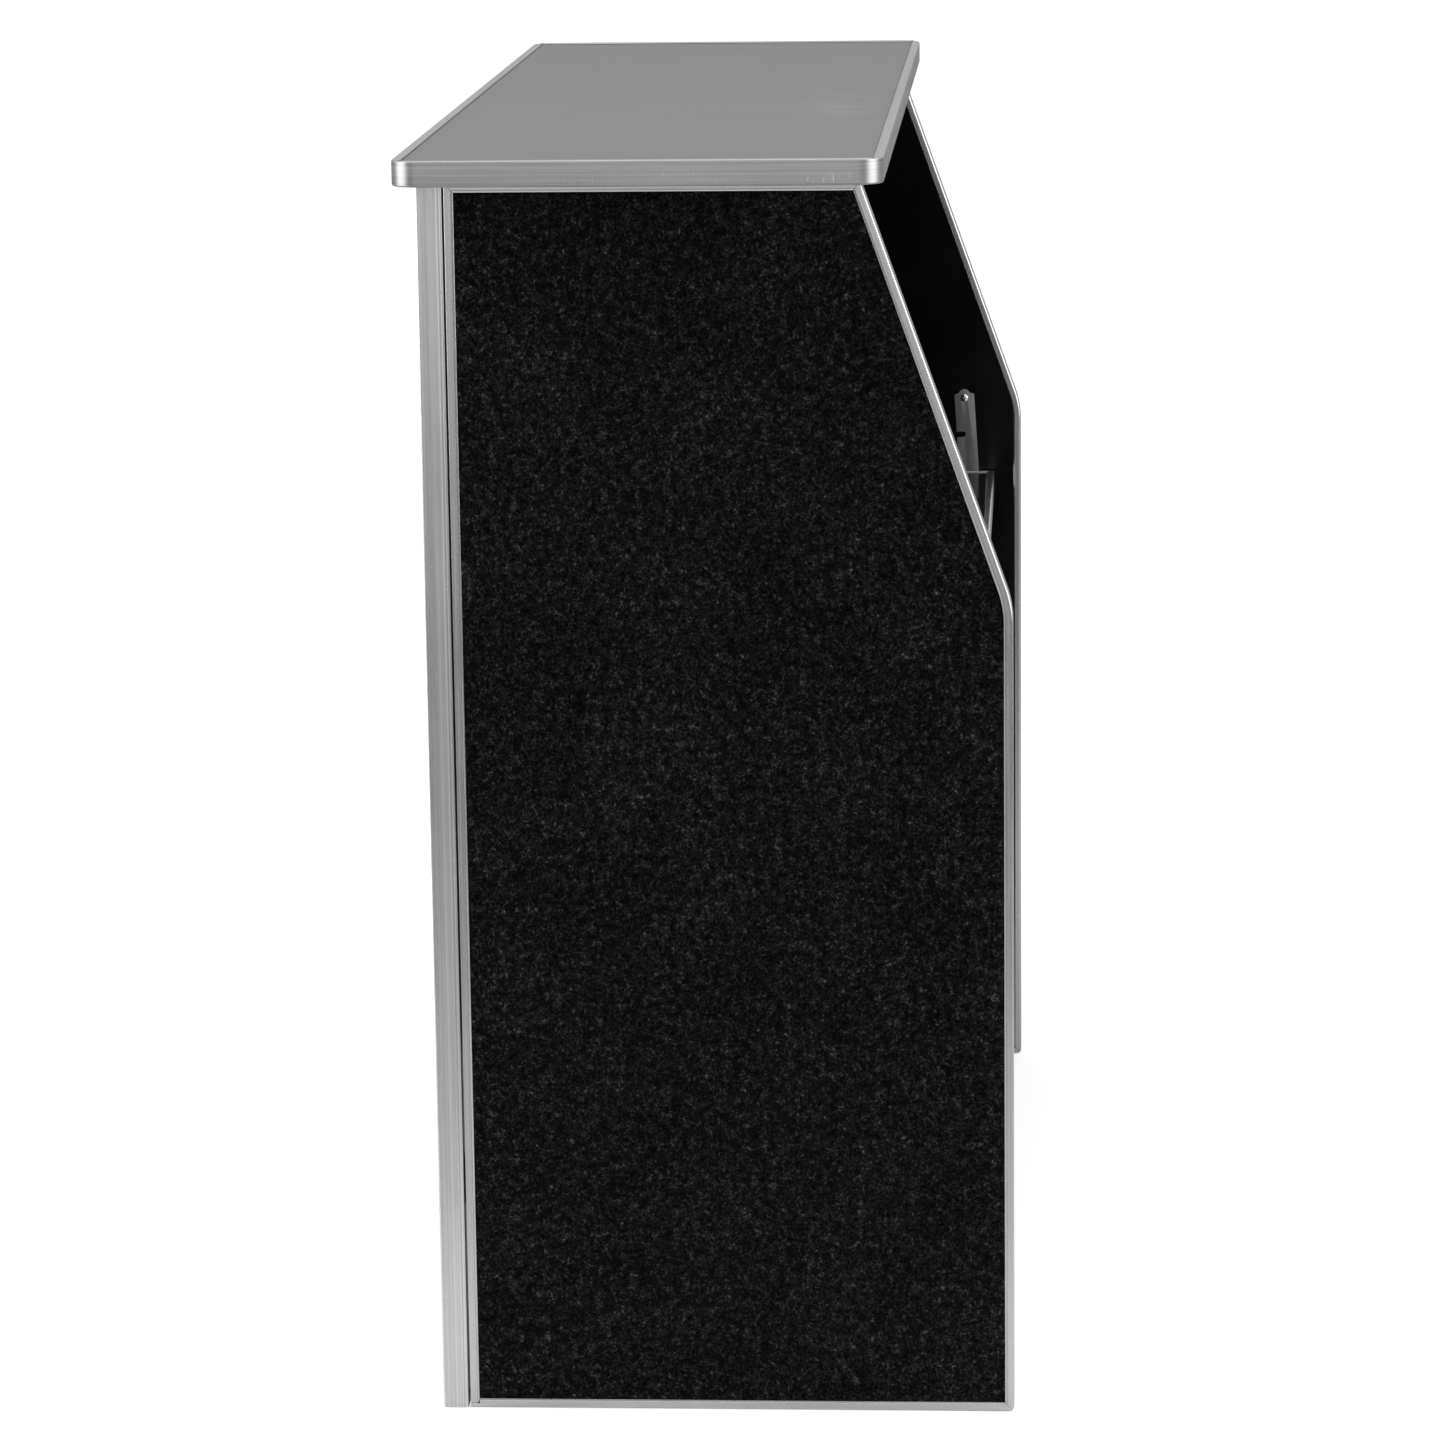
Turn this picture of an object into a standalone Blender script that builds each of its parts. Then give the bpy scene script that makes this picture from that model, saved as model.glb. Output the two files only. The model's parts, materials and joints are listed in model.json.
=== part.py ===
"""Free-standing presentation lectern in counter form: a front panel, two side panels with a sloped
rear edge, a lift-off top and one inner shelf. Every panel is a laminated board whose edges sit in
the same U-shaped aluminium trim.

World frame, in metres: the audience side faces -Y, the speaker stands at +Y, +Z is up. The origin
is on the floor, under the centre of the whole outline.
"""

import math

import bmesh
import bpy
from mathutils import Vector

# Driving dimensions.
HEIGHT = 1.100
OVERALL_DEPTH = 0.519
TOP_WIDTH = 1.300
TOP_DEPTH = 0.412
TOP_CORNER_RADIUS = 0.024
PANEL_WIDTH = 1.220
FRONT_OVERHANG = 0.0175
SLOPE_ANGLE = math.radians(19.45)
SLOPE_START_HEIGHT = 0.717
BEND_RADIUS = 0.095

# The trim: a U with a web across the board's edge and a flange on each face.
EDGE = 0.022
FLANGE = 0.008
WEB = 0.0018
LIP = 0.0012
EDGE_RADIUS = 0.0022
MITRE_GAP = 0.00025
GAP = 0.0003
CORNER_GROOVE = 0.0015
POST_GROOVES = 5
POST_GROOVE_PITCH = 0.0032
POST_GROOVE_HALF_WIDTH = 0.0004
POST_GROOVE_DEPTH = 0.0003

# The board: a core with a laminate sheet on each face.
BOARD = 0.019
SKIN = 0.0008
CORE_HALF = BOARD / 2 - SKIN - GAP

# The shelf, the ledge under its front edge and the straps that hang its rear.
SHELF_TOP = 0.6465
SHELF_REAR = 0.231
SHELF_FRONT = -0.205
SHELF_HALF_WIDTH = 0.5820
STRAP_WIDTH = 0.021
STRAP_THICKNESS = 0.0025
STRAP_LEAN = math.radians(3.3)
STRAP_PIVOT_Y = 0.1995
STRAP_PIVOT_Z = 0.7244
STRAP_LENGTH = 0.102
DOME_RADIUS = 0.0062
DOME_RISE = 0.0030
SHOULDER_RISE = 0.0036
NOTCH_HEIGHT = 0.006
NOTCH_DEPTH = 0.0095
UPPER_NOTCH_DOWN = 0.0392
STUD_RADIUS = 0.0024
STUD_HOLE_RADIUS = 0.0027
STUD_LENGTH = 0.024
PIVOT_RADIUS = 0.0025
PIVOT_HOLE_RADIUS = 0.00256
SPACER_RADIUS = 0.006
SPACER_HOLE_RADIUS = 0.0029
LEDGE_HALF_LENGTH = 0.540
LEDGE_WIDTH = 0.030
LEDGE_DROP = 0.028
LEDGE_THICKNESS = 0.002
LEDGE_SCREWS = (("left", -0.45), ("middle", 0.0), ("right", 0.45))

# Screws, corner angles and locating pegs.
SCREW_HEAD_RADIUS = 0.0042
SCREW_HEAD_HEIGHT = 0.0022
SCREW_SHANK_RADIUS = 0.0016
SCREW_LENGTH = 0.012
SCREW_HOLE_RADIUS = 0.0019
HEAD_CROWN_RADIUS = 0.0023
HEAD_SHOULDER_RADIUS = 0.0037
HEAD_SHOULDER_HEIGHT = 0.0015
HEAD_RIM_HEIGHT = 0.0004
SCREW_POINT_LENGTH = 0.0024
ANGLE_LEG = 0.028
ANGLE_THICKNESS = 0.002
ANGLE_HEIGHT = 0.040
ANGLE_SCREW_OFFSET = 0.018
ANGLE_LEVELS = (("lower", 0.20), ("upper", 0.90))
PEG_RADIUS = 0.004
PEG_HOLE_RADIUS = 0.0043
PEG_BOTTOM = 1.056
PEG_TOP = 1.093
PEG_TIP = 0.0015
PEG_ROWS = (("front", -0.130), ("rear", 0.060))

CUTTER_START = 0.004
CUTTER_LENGTH = 0.020
ARC_STEPS = 6
EDGE_STEPS = 3
QUARTER = math.pi / 2
SHARP_ANGLE = math.radians(35)
DOME_START = math.radians(20)
DOME_END = math.radians(160)
SCREW_SIDES = 12
PEG_SIDES = 16
PIVOT_SIDES = 24

# Positions that follow from the driving dimensions.
PANEL_TOP = HEIGHT - EDGE - GAP
FRONT = -OVERALL_DEPTH / 2
REAR = OVERALL_DEPTH / 2
TOP_REAR = FRONT + TOP_DEPTH
POST_FRONT = FRONT + FRONT_OVERHANG
SIDE_FRONT = POST_FRONT + EDGE + CORNER_GROOVE
SLOPE_TOP_Y = REAR - (PANEL_TOP - SLOPE_START_HEIGHT) * math.tan(SLOPE_ANGLE)
SIDE_CENTRE = PANEL_WIDTH / 2 - EDGE / 2
FRONT_CENTRE = POST_FRONT + EDGE / 2
TOP_CENTRE = HEIGHT - EDGE / 2
SHELF_CENTRE = SHELF_TOP - EDGE / 2
BOARD_INSET = WEB + GAP
INNER_FACE = PANEL_WIDTH / 2 - EDGE
STRAP_OUTER_X = INNER_FACE - GAP
STRAP_INNER_X = STRAP_OUTER_X - STRAP_THICKNESS
LAMINATE_X = SIDE_CENTRE - BOARD / 2
ANGLE_CORNER_X = INNER_FACE - GAP
ANGLE_CORNER_Y = FRONT_CENTRE + BOARD / 2 + GAP
SHELF_BOTTOM = SHELF_TOP - EDGE
SIDES = (("left", -1), ("right", 1))


def clear_scene():
    for obj in list(bpy.data.objects):
        bpy.data.objects.remove(obj, do_unlink=True)


def make_material(name, colour, roughness, metallic):
    material = bpy.data.materials.new(name)
    material.use_nodes = True
    shader = material.node_tree.nodes["Principled BSDF"]
    shader.inputs["Base Color"].default_value = (*colour, 1.0)
    shader.inputs["Roughness"].default_value = roughness
    shader.inputs["Metallic"].default_value = metallic
    return material


def finish_object(name, bm, material, parent):
    """Turns a bmesh into a named object with outward faces, smooth on its curved stretches."""
    bmesh.ops.recalc_face_normals(bm, faces=bm.faces)
    mesh = bpy.data.meshes.new(name)
    bm.to_mesh(mesh)
    bm.free()
    mesh.shade_smooth()
    mesh.set_sharp_from_angle(angle=SHARP_ANGLE)
    mesh.materials.append(material)
    obj = bpy.data.objects.new(name, mesh)
    bpy.context.scene.collection.objects.link(obj)
    obj.parent = parent
    return obj


def make_empty(name):
    empty = bpy.data.objects.new(name, None)
    bpy.context.scene.collection.objects.link(empty)
    return empty


# How each panel's own coordinates (along, across, outwards) stand in the world.


def side_place(sign):
    return lambda y, z, t: Vector((sign * (SIDE_CENTRE + t), y, z))


def front_place(x, z, t):
    return Vector((x, FRONT_CENTRE - t, z))


def top_place(x, y, t):
    return Vector((x, y, TOP_CENTRE + t))


def shelf_place(x, y, t):
    return Vector((x, y, SHELF_CENTRE + t))


# Outlines: closed, anticlockwise, so the inward direction is to the left of each edge.


def arc(centre, radius, start, end, steps):
    points = []
    for step in range(steps + 1):
        angle = start + (end - start) * step / steps
        points.append((centre[0] + radius * math.cos(angle), centre[1] + radius * math.sin(angle)))
    return points


def rectangle(low_a, low_b, high_a, high_b):
    return [(low_a, low_b), (high_a, low_b), (high_a, high_b), (low_a, high_b)]


def rounded_rectangle(low_a, low_b, high_a, high_b, radius):
    corners = (
        (high_a - radius, high_b - radius, 0),
        (low_a + radius, high_b - radius, 1),
        (low_a + radius, low_b + radius, 2),
        (high_a - radius, low_b + radius, 3),
    )
    points = []
    for a, b, turn in corners:
        points += arc((a, b), radius, turn * QUARTER, (turn + 1) * QUARTER, ARC_STEPS)
    return points


def side_outline():
    """The side panel's outer edge: front foot, rear foot, the bend, slope top, front top."""
    bend_length = BEND_RADIUS * math.tan(SLOPE_ANGLE / 2)
    centre = (REAR - BEND_RADIUS, SLOPE_START_HEIGHT - bend_length)
    bend = arc(centre, BEND_RADIUS, 0, SLOPE_ANGLE, ARC_STEPS)
    top = [(SLOPE_TOP_Y, PANEL_TOP), (SIDE_FRONT, PANEL_TOP)]
    return [(SIDE_FRONT, 0.0), (REAR, 0.0)] + bend + top


def mitres(outline):
    """The vector at each corner that moves both edges inwards by one unit."""
    found = []
    for index, here in enumerate(outline):
        before = outline[index - 1]
        after = outline[(index + 1) % len(outline)]
        normals = []
        for start, end in ((before, here), (here, after)):
            length = math.dist(start, end)
            normals.append(Vector(((start[1] - end[1]) / length, (end[0] - start[0]) / length)))
        found.append((normals[0] + normals[1]) / (1 + normals[0].dot(normals[1])))
    return found


def inset(outline, distance):
    moved = []
    for point, mitre in zip(outline, mitres(outline)):
        moved.append((point[0] + distance * mitre.x, point[1] + distance * mitre.y))
    return moved


# Solids.


def prism(name, outline, place, low, high, material, parent):
    """An outline given thickness from low to high along the panel's outward direction."""
    bm = bmesh.new()
    rings = []
    for t in (low, high):
        rings.append([bm.verts.new(place(a, b, t)) for a, b in outline])
    bm.faces.new(rings[0])
    bm.faces.new(rings[1])
    bridge(bm, rings[0], rings[1])
    return finish_object(name, bm, material, parent)


def bridge(bm, first, second):
    count = len(first)
    for index in range(count):
        following = (index + 1) % count
        bm.faces.new((first[index], first[following], second[following], second[index]))


def grooved_web():
    """Points along the post's web with shallow V grooves, as (across, depth)."""
    points = []
    for index in range(POST_GROOVES):
        middle = (index - (POST_GROOVES - 1) / 2) * POST_GROOVE_PITCH
        points.append((middle - POST_GROOVE_HALF_WIDTH, 0.0))
        points.append((middle, POST_GROOVE_DEPTH))
        points.append((middle + POST_GROOVE_HALF_WIDTH, 0.0))
    return points


def trim_profile(web_points=()):
    """The U section as (across, depth): depth 0 is the web's outer face."""
    half = EDGE / 2
    inner = half - LIP
    centre = half - EDGE_RADIUS
    first = arc((-centre, EDGE_RADIUS), EDGE_RADIUS, 2 * QUARTER, 3 * QUARTER, EDGE_STEPS)
    second = arc((centre, EDGE_RADIUS), EDGE_RADIUS, -QUARTER, 0, EDGE_STEPS)
    legs = [(half, FLANGE), (inner, FLANGE), (inner, WEB), (-inner, WEB), (-inner, FLANGE)]
    return [(-half, FLANGE)] + first + list(web_points) + second + legs


def sweep(name, profile, stations, place, material, parent):
    """Carries the trim section along stations of (point, inward vector) in a panel's plane."""
    bm = bmesh.new()
    rings = []
    for point, inward in stations:
        ring = []
        for across, depth in profile:
            a = point[0] + depth * inward[0]
            b = point[1] + depth * inward[1]
            ring.append(bm.verts.new(place(a, b, across)))
        rings.append(ring)
    for first, second in zip(rings, rings[1:]):
        bridge(bm, first, second)
    bm.faces.new(rings[0])
    bm.faces.new(rings[-1])
    return finish_object(name, bm, material, parent)


def mitred_stations(outline, first, last):
    """Stations from one corner of an outline to another, held back a little at both mitres."""
    vectors = mitres(outline)
    count = len(outline)
    span = (last - first) % count
    indices = [(first + step) % count for step in range(span + 1)]
    stations = [(Vector(outline[index]), vectors[index]) for index in indices]
    start_step = (stations[1][0] - stations[0][0]).normalized() * MITRE_GAP
    end_step = (stations[-2][0] - stations[-1][0]).normalized() * MITRE_GAP
    stations[0] = (stations[0][0] + start_step, stations[0][1])
    stations[-1] = (stations[-1][0] + end_step, stations[-1][1])
    return stations


def turned(bm, profile, centre, axis, sides):
    """Adds a turned solid: profile is (distance along the axis, radius), pointed at both ends."""
    axis = Vector(axis).normalized()
    across = axis.orthogonal().normalized()
    up = axis.cross(across)
    start = bm.verts.new(centre + axis * profile[0][0])
    end = bm.verts.new(centre + axis * profile[-1][0])
    rings = []
    for distance, radius in profile[1:-1]:
        ring = []
        for side in range(sides):
            angle = 2 * math.pi * side / sides
            offset = (across * math.cos(angle) + up * math.sin(angle)) * radius
            ring.append(bm.verts.new(centre + axis * distance + offset))
        rings.append(ring)
    for first, second in zip(rings, rings[1:]):
        bridge(bm, first, second)
    for index in range(sides):
        following = (index + 1) % sides
        bm.faces.new((start, rings[0][following], rings[0][index]))
        bm.faces.new((end, rings[-1][index], rings[-1][following]))


def ring(bm, start, axis, length, inner, outer, sides):
    """Adds a plain washer or bush."""
    axis = Vector(axis).normalized()
    across = axis.orthogonal().normalized()
    up = axis.cross(across)
    loops = []
    for distance, radius in ((0, inner), (0, outer), (length, outer), (length, inner)):
        loop = []
        for side in range(sides):
            angle = 2 * math.pi * side / sides
            offset = (across * math.cos(angle) + up * math.sin(angle)) * radius
            loop.append(bm.verts.new(start + axis * distance + offset))
        loops.append(loop)
    for index, loop in enumerate(loops):
        bridge(bm, loop, loops[(index + 1) % len(loops)])


def cylinder_profile(length, radius):
    return [(0, 0), (0, radius), (length, radius), (length, 0)]


def screw_profile(shoulder_radius, shoulder_length):
    """A pan head in front of its seat at 0, then a plain shoulder and a pointed shank."""
    profile = [(-SCREW_HEAD_HEIGHT, 0), (-SCREW_HEAD_HEIGHT, HEAD_CROWN_RADIUS)]
    profile += [(-HEAD_SHOULDER_HEIGHT, HEAD_SHOULDER_RADIUS), (-HEAD_RIM_HEIGHT, SCREW_HEAD_RADIUS)]
    profile += [(0, SCREW_HEAD_RADIUS), (0, shoulder_radius)]
    if shoulder_length:
        profile += [(shoulder_length, shoulder_radius), (shoulder_length, SCREW_SHANK_RADIUS)]
    profile.append((SCREW_LENGTH - SCREW_POINT_LENGTH, SCREW_SHANK_RADIUS))
    return profile + [(SCREW_LENGTH, 0)]


def make_cutter(name, holes, sides):
    """One hidden mesh of cylinders; each hole is (start, direction, length, radius)."""
    bm = bmesh.new()
    for start, direction, length, radius in holes:
        turned(bm, cylinder_profile(length, radius), Vector(start), direction, sides)
    cutter = finish_object(name, bm, make_material(name, (1, 0, 0), 0.5, 0.0), None)
    cutter.hide_render = True
    cutter.display_type = "WIRE"
    return cutter


def cut(obj, cutter):
    modifier = obj.modifiers.new("cut_" + cutter.name, "BOOLEAN")
    modifier.operation = "DIFFERENCE"
    modifier.solver = "EXACT"
    modifier.object = cutter


def make_board(prefix, outline, place, materials, names, parent):
    """Core, outer sheet and inner sheet of one panel, a gap apart."""
    half = BOARD / 2
    layers = (
        (names[0], -CORE_HALF, CORE_HALF, materials[0]),
        (names[1], half - SKIN, half, materials[1]),
        (names[2], -half, -half + SKIN, materials[2]),
    )
    made = []
    for name, low, high, material in layers:
        made.append(prism(prefix + name, outline, place, low, high, material, parent))
    return made


# The front panel.


def make_front(looks, frame):
    edge_x = PANEL_WIDTH / 2
    profile = trim_profile(grooved_web())
    for side, sign in SIDES:
        stations = [((sign * edge_x, z), (-sign, 0)) for z in (0.0, PANEL_TOP)]
        sweep("front_post_" + side, profile, stations, front_place, looks["trim"], frame)
    rail_x = edge_x - FLANGE - GAP
    for name, z, inward in (("bottom", 0.0, 1), ("top", PANEL_TOP, -1)):
        stations = [((x, z), (0, inward)) for x in (-rail_x, rail_x)]
        name = "front_" + name + "_rail"
        sweep(name, trim_profile(), stations, front_place, looks["trim"], frame)
    outline = inset(rectangle(-edge_x, 0.0, edge_x, PANEL_TOP), BOARD_INSET)
    materials = (looks["core"], looks["speckled"], looks["black"])
    names = ("core", "outer_laminate", "inner_laminate")
    return make_board("front_", outline, front_place, materials, names, frame)


# The side panels.


def make_side(side, sign, looks, frame):
    place = side_place(sign)
    prefix = "side_" + side + "_"
    outline = side_outline()
    last = len(outline) - 1
    trim = looks["trim"]
    profile = trim_profile()
    bottom = mitred_stations(outline, 0, 1)
    bottom[0] = (Vector(outline[0]), Vector((0, 1)))
    sweep(prefix + "bottom_trim", profile, bottom, place, trim, frame)
    rear = mitred_stations(outline, 1, last - 1)
    sweep(prefix + "rear_trim", profile, rear, place, trim, frame)
    top = mitred_stations(outline, last - 1, last)
    top_trim = sweep(prefix + "top_trim", profile, top, place, trim, frame)
    front = mitred_stations(outline, last, 0)
    front[-1] = (Vector((SIDE_FRONT, FLANGE + GAP)), Vector((1, 0)))
    sweep(prefix + "front_trim", profile, front, place, trim, frame)
    materials = (looks["core"], looks["speckled"], looks["black"])
    names = ("core", "outer_laminate", "inner_laminate")
    board = inset(outline, BOARD_INSET)
    core, _, inner_sheet = make_board(prefix, board, place, materials, names, frame)
    return core, inner_sheet, top_trim


# The straps that hang the shelf's rear edge, each on one screw.


def strap_point(down, across):
    """The (y, z) of a point on a strap: down from its pivot and towards its rear edge."""
    sine, cosine = math.sin(STRAP_LEAN), math.cos(STRAP_LEAN)
    y = STRAP_PIVOT_Y + down * sine + across * cosine
    z = STRAP_PIVOT_Z - down * cosine + across * sine
    return y, z


def lower_notch_down():
    """How far down the strap its lower notch lies, so that the shelf's stud rests in it."""
    across = NOTCH_DEPTH - NOTCH_HEIGHT / 2 - STRAP_WIDTH / 2
    drop = STRAP_PIVOT_Z - SHELF_CENTRE + across * math.sin(STRAP_LEAN)
    return drop / math.cos(STRAP_LEAN)


def stud_point():
    """The (y, z) of the studs on the shelf's ends: the round end of the lower notch."""
    return strap_point(lower_notch_down(), NOTCH_DEPTH - NOTCH_HEIGHT / 2 - STRAP_WIDTH / 2)


def notch_points(down):
    """A notch across the strap, open to the front with a round end, going down the front edge."""
    radius = NOTCH_HEIGHT / 2
    front = -STRAP_WIDTH / 2
    middle = front + NOTCH_DEPTH - radius
    points = [strap_point(down - radius, front)]
    for across, rise in arc((middle, 0), radius, QUARTER, -QUARTER, ARC_STEPS):
        points.append(strap_point(down - rise, across))
    return points + [strap_point(down + radius, front)]


def strap_outline():
    half = STRAP_WIDTH / 2
    points = [strap_point(STRAP_LENGTH, -half), strap_point(STRAP_LENGTH, half)]
    points.append(strap_point(-SHOULDER_RISE, half))
    for across, rise in arc((0, DOME_RISE), DOME_RADIUS, DOME_START, DOME_END, ARC_STEPS):
        points.append(strap_point(-rise, across))
    points.append(strap_point(-SHOULDER_RISE, -half))
    return points + notch_points(UPPER_NOTCH_DOWN) + notch_points(lower_notch_down())


def make_strap(side, sign, looks):
    """A bored strap whose parent empty stands on its pivot's axis."""
    pivot = make_empty("strap_pivot_" + side)
    pivot.location = (sign * STRAP_OUTER_X, STRAP_PIVOT_Y, STRAP_PIVOT_Z)
    low, high = sorted((-sign * STRAP_THICKNESS, 0.0))
    outline = [(y - STRAP_PIVOT_Y, z - STRAP_PIVOT_Z) for y, z in strap_outline()]

    def place(y, z, x):
        return Vector((x, y, z))

    strap = prism("shelf_strap_" + side, outline, place, low, high, looks["steel"], pivot)
    start = (sign * (STRAP_INNER_X - CUTTER_START), STRAP_PIVOT_Y, STRAP_PIVOT_Z)
    bore = (start, (sign, 0, 0), CUTTER_LENGTH, PIVOT_HOLE_RADIUS)
    cut(strap, make_cutter("cutter_strap_bore_" + side, [bore], PIVOT_SIDES))


def make_pivot(side, sign, looks, frame):
    """The spacer behind a strap and the shouldered screw through both."""
    axis = (sign, 0, 0)
    spacer_length = LAMINATE_X - STRAP_OUTER_X - 2 * GAP
    start = Vector((sign * (STRAP_OUTER_X + GAP), STRAP_PIVOT_Y, STRAP_PIVOT_Z))
    bm = bmesh.new()
    ring(bm, start, axis, spacer_length, SPACER_HOLE_RADIUS, SPACER_RADIUS, PIVOT_SIDES)
    finish_object("strap_spacer_" + side, bm, looks["steel"], frame)

    seat = Vector((sign * (STRAP_INNER_X - GAP), STRAP_PIVOT_Y, STRAP_PIVOT_Z))
    bm = bmesh.new()
    turned(bm, screw_profile(PIVOT_RADIUS, LAMINATE_X - STRAP_INNER_X), seat, axis, PIVOT_SIDES)
    finish_object("strap_screw_" + side, bm, looks["screw"], frame)


# The angles that hold the front panel to the side panels, and the ledge under the shelf.


def make_angle(name, sign, level, looks, frame):
    x, y = ANGLE_CORNER_X, ANGLE_CORNER_Y
    inner_x = x - ANGLE_THICKNESS
    inner_y = y + ANGLE_THICKNESS
    outline = [(x, y), (x, y + ANGLE_LEG), (inner_x, y + ANGLE_LEG), (inner_x, inner_y)]
    outline += [(x - ANGLE_LEG, inner_y), (x - ANGLE_LEG, y)]

    def place(a, b, t):
        return Vector((sign * a, b, t))

    low, high = level - ANGLE_HEIGHT / 2, level + ANGLE_HEIGHT / 2
    return prism(name, outline, place, low, high, looks["steel"], frame)


def make_screw(name, seat, axis, looks, frame):
    bm = bmesh.new()
    turned(bm, screw_profile(SCREW_SHANK_RADIUS, 0.0), Vector(seat), axis, SCREW_SIDES)
    return finish_object(name, bm, looks["screw"], frame)


def make_corner(side, sign, looks, frame):
    """Both angles of one corner, with a screw into the side panel and one into the front."""
    side_y = ANGLE_CORNER_Y + ANGLE_SCREW_OFFSET
    front_x = ANGLE_CORNER_X - ANGLE_SCREW_OFFSET
    seat_x = ANGLE_CORNER_X - ANGLE_THICKNESS - GAP
    seat_y = ANGLE_CORNER_Y + ANGLE_THICKNESS + GAP
    angles = []
    for row, level in ANGLE_LEVELS:
        tail = row + "_" + side
        angles.append(make_angle("corner_angle_" + tail, sign, level, looks, frame))
        seat = (sign * seat_x, side_y, level)
        make_screw("corner_side_screw_" + tail, seat, (sign, 0, 0), looks, frame)
        seat = (sign * front_x, seat_y, level)
        make_screw("corner_front_screw_" + tail, seat, (0, -1, 0), looks, frame)
    return angles


def ledge_screw_z():
    return SHELF_BOTTOM - GAP - LEDGE_THICKNESS - (LEDGE_DROP - LEDGE_THICKNESS) / 2


def make_ledge(looks, frame):
    """The angle on the front panel that carries the shelf's front edge."""
    y, z = ANGLE_CORNER_Y, SHELF_BOTTOM - GAP
    inner_y, inner_z = y + LEDGE_THICKNESS, z - LEDGE_THICKNESS
    outline = [(y, z), (y, z - LEDGE_DROP), (inner_y, z - LEDGE_DROP), (inner_y, inner_z)]
    outline += [(y + LEDGE_WIDTH, inner_z), (y + LEDGE_WIDTH, z)]

    def place(a, b, t):
        return Vector((t, a, b))

    half = LEDGE_HALF_LENGTH
    for row, x in LEDGE_SCREWS:
        seat = (x, inner_y + GAP, ledge_screw_z())
        make_screw("ledge_screw_" + row, seat, (0, -1, 0), looks, frame)
    return prism("shelf_ledge", outline, place, -half, half, looks["steel"], frame)


# The shelf.


def make_shelf(looks, shelf):
    outline = rectangle(-SHELF_HALF_WIDTH, SHELF_FRONT, SHELF_HALF_WIDTH, SHELF_REAR)
    trim = looks["trim"]
    profile = trim_profile()
    trims = {}
    for index, edge in enumerate(("front", "right", "rear", "left")):
        stations = mitred_stations(outline, index, (index + 1) % 4)
        name = "shelf_" + edge + "_trim"
        trims[edge] = sweep(name, profile, stations, shelf_place, trim, shelf)
    materials = (looks["core"], looks["black"], looks["black"])
    names = ("core", "upper_laminate", "lower_laminate")
    board = inset(outline, BOARD_INSET)
    core = make_board("shelf_", board, shelf_place, materials, names, shelf)[0]
    return core, trims["left"], trims["right"]


def make_stud(side, sign, looks, shelf):
    y, z = stud_point()
    start = STRAP_OUTER_X - STUD_LENGTH
    bm = bmesh.new()
    profile = cylinder_profile(STUD_LENGTH, STUD_RADIUS)
    turned(bm, profile, Vector((sign * start, y, z)), (sign, 0, 0), PEG_SIDES)
    return finish_object("shelf_stud_" + side, bm, looks["steel"], shelf)


# The top.


def band_ring(outer_inset, z, square):
    """One closed line round the top: rounded corners, or square ones on the same point count."""
    half = TOP_WIDTH / 2 - outer_inset
    low, high = FRONT + outer_inset, TOP_REAR - outer_inset
    radius = TOP_CORNER_RADIUS - outer_inset
    if not square:
        return [(a, b, z) for a, b in rounded_rectangle(-half, low, half, high, radius)]
    points = []
    for a, b in rounded_rectangle(-half, low, half, high, radius):
        centre_a = math.copysign(half - radius, a)
        middle = (low + high) / 2
        centre_b = middle + math.copysign((high - low) / 2 - radius, b - middle)
        offset_a, offset_b = a - centre_a, b - centre_b
        stretch = radius / max(abs(offset_a), abs(offset_b))
        points.append((centre_a + offset_a * stretch, centre_b + offset_b * stretch, z))
    return points


def make_top_band(looks, top):
    """The trim bent round the top's corners, its flanges filled out to square inner corners."""
    bottom, upper = HEIGHT - EDGE, HEIGHT
    rings = []
    turn = arc((EDGE_RADIUS, EDGE_RADIUS), EDGE_RADIUS, -QUARTER, -2 * QUARTER, EDGE_STEPS)
    for draw, rise in turn:
        rings.append(band_ring(draw, bottom + rise, False))
    for draw, rise in reversed(turn):
        rings.append(band_ring(draw, upper - rise, False))
    rings.append(band_ring(FLANGE, upper, True))
    rings.append(band_ring(FLANGE, upper - LIP, True))
    rings.append(band_ring(WEB, upper - LIP, False))
    rings.append(band_ring(WEB, bottom + LIP, False))
    rings.append(band_ring(FLANGE, bottom + LIP, True))
    rings.append(band_ring(FLANGE, bottom, True))
    bm = bmesh.new()
    loops = [[bm.verts.new(point) for point in ring] for ring in rings]
    for index, loop in enumerate(loops):
        bridge(bm, loop, loops[(index + 1) % len(loops)])
    return finish_object("top_edge_band", bm, looks["trim"], top)


def make_top(looks, top):
    outline = rounded_rectangle(
        -TOP_WIDTH / 2 + BOARD_INSET,
        FRONT + BOARD_INSET,
        TOP_WIDTH / 2 - BOARD_INSET,
        TOP_REAR - BOARD_INSET,
        TOP_CORNER_RADIUS - BOARD_INSET,
    )
    materials = (looks["core"], looks["grey"], looks["black"])
    names = ("core", "laminate", "balance_sheet")
    return make_board("top_", outline, top_place, materials, names, top)


def peg_profile():
    """A round peg from its tip up, chamfered at the lower end."""
    length = PEG_TOP - PEG_BOTTOM
    tip = [(0, 0), (0, PEG_RADIUS - PEG_TIP), (PEG_TIP, PEG_RADIUS)]
    return tip + [(length, PEG_RADIUS), (length, 0)]


def make_peg(name, sign, y, looks, top):
    bm = bmesh.new()
    turned(bm, peg_profile(), Vector((sign * SIDE_CENTRE, y, PEG_BOTTOM)), (0, 0, 1), PEG_SIDES)
    return finish_object(name, bm, looks["steel"], top)


# Holes.


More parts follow.
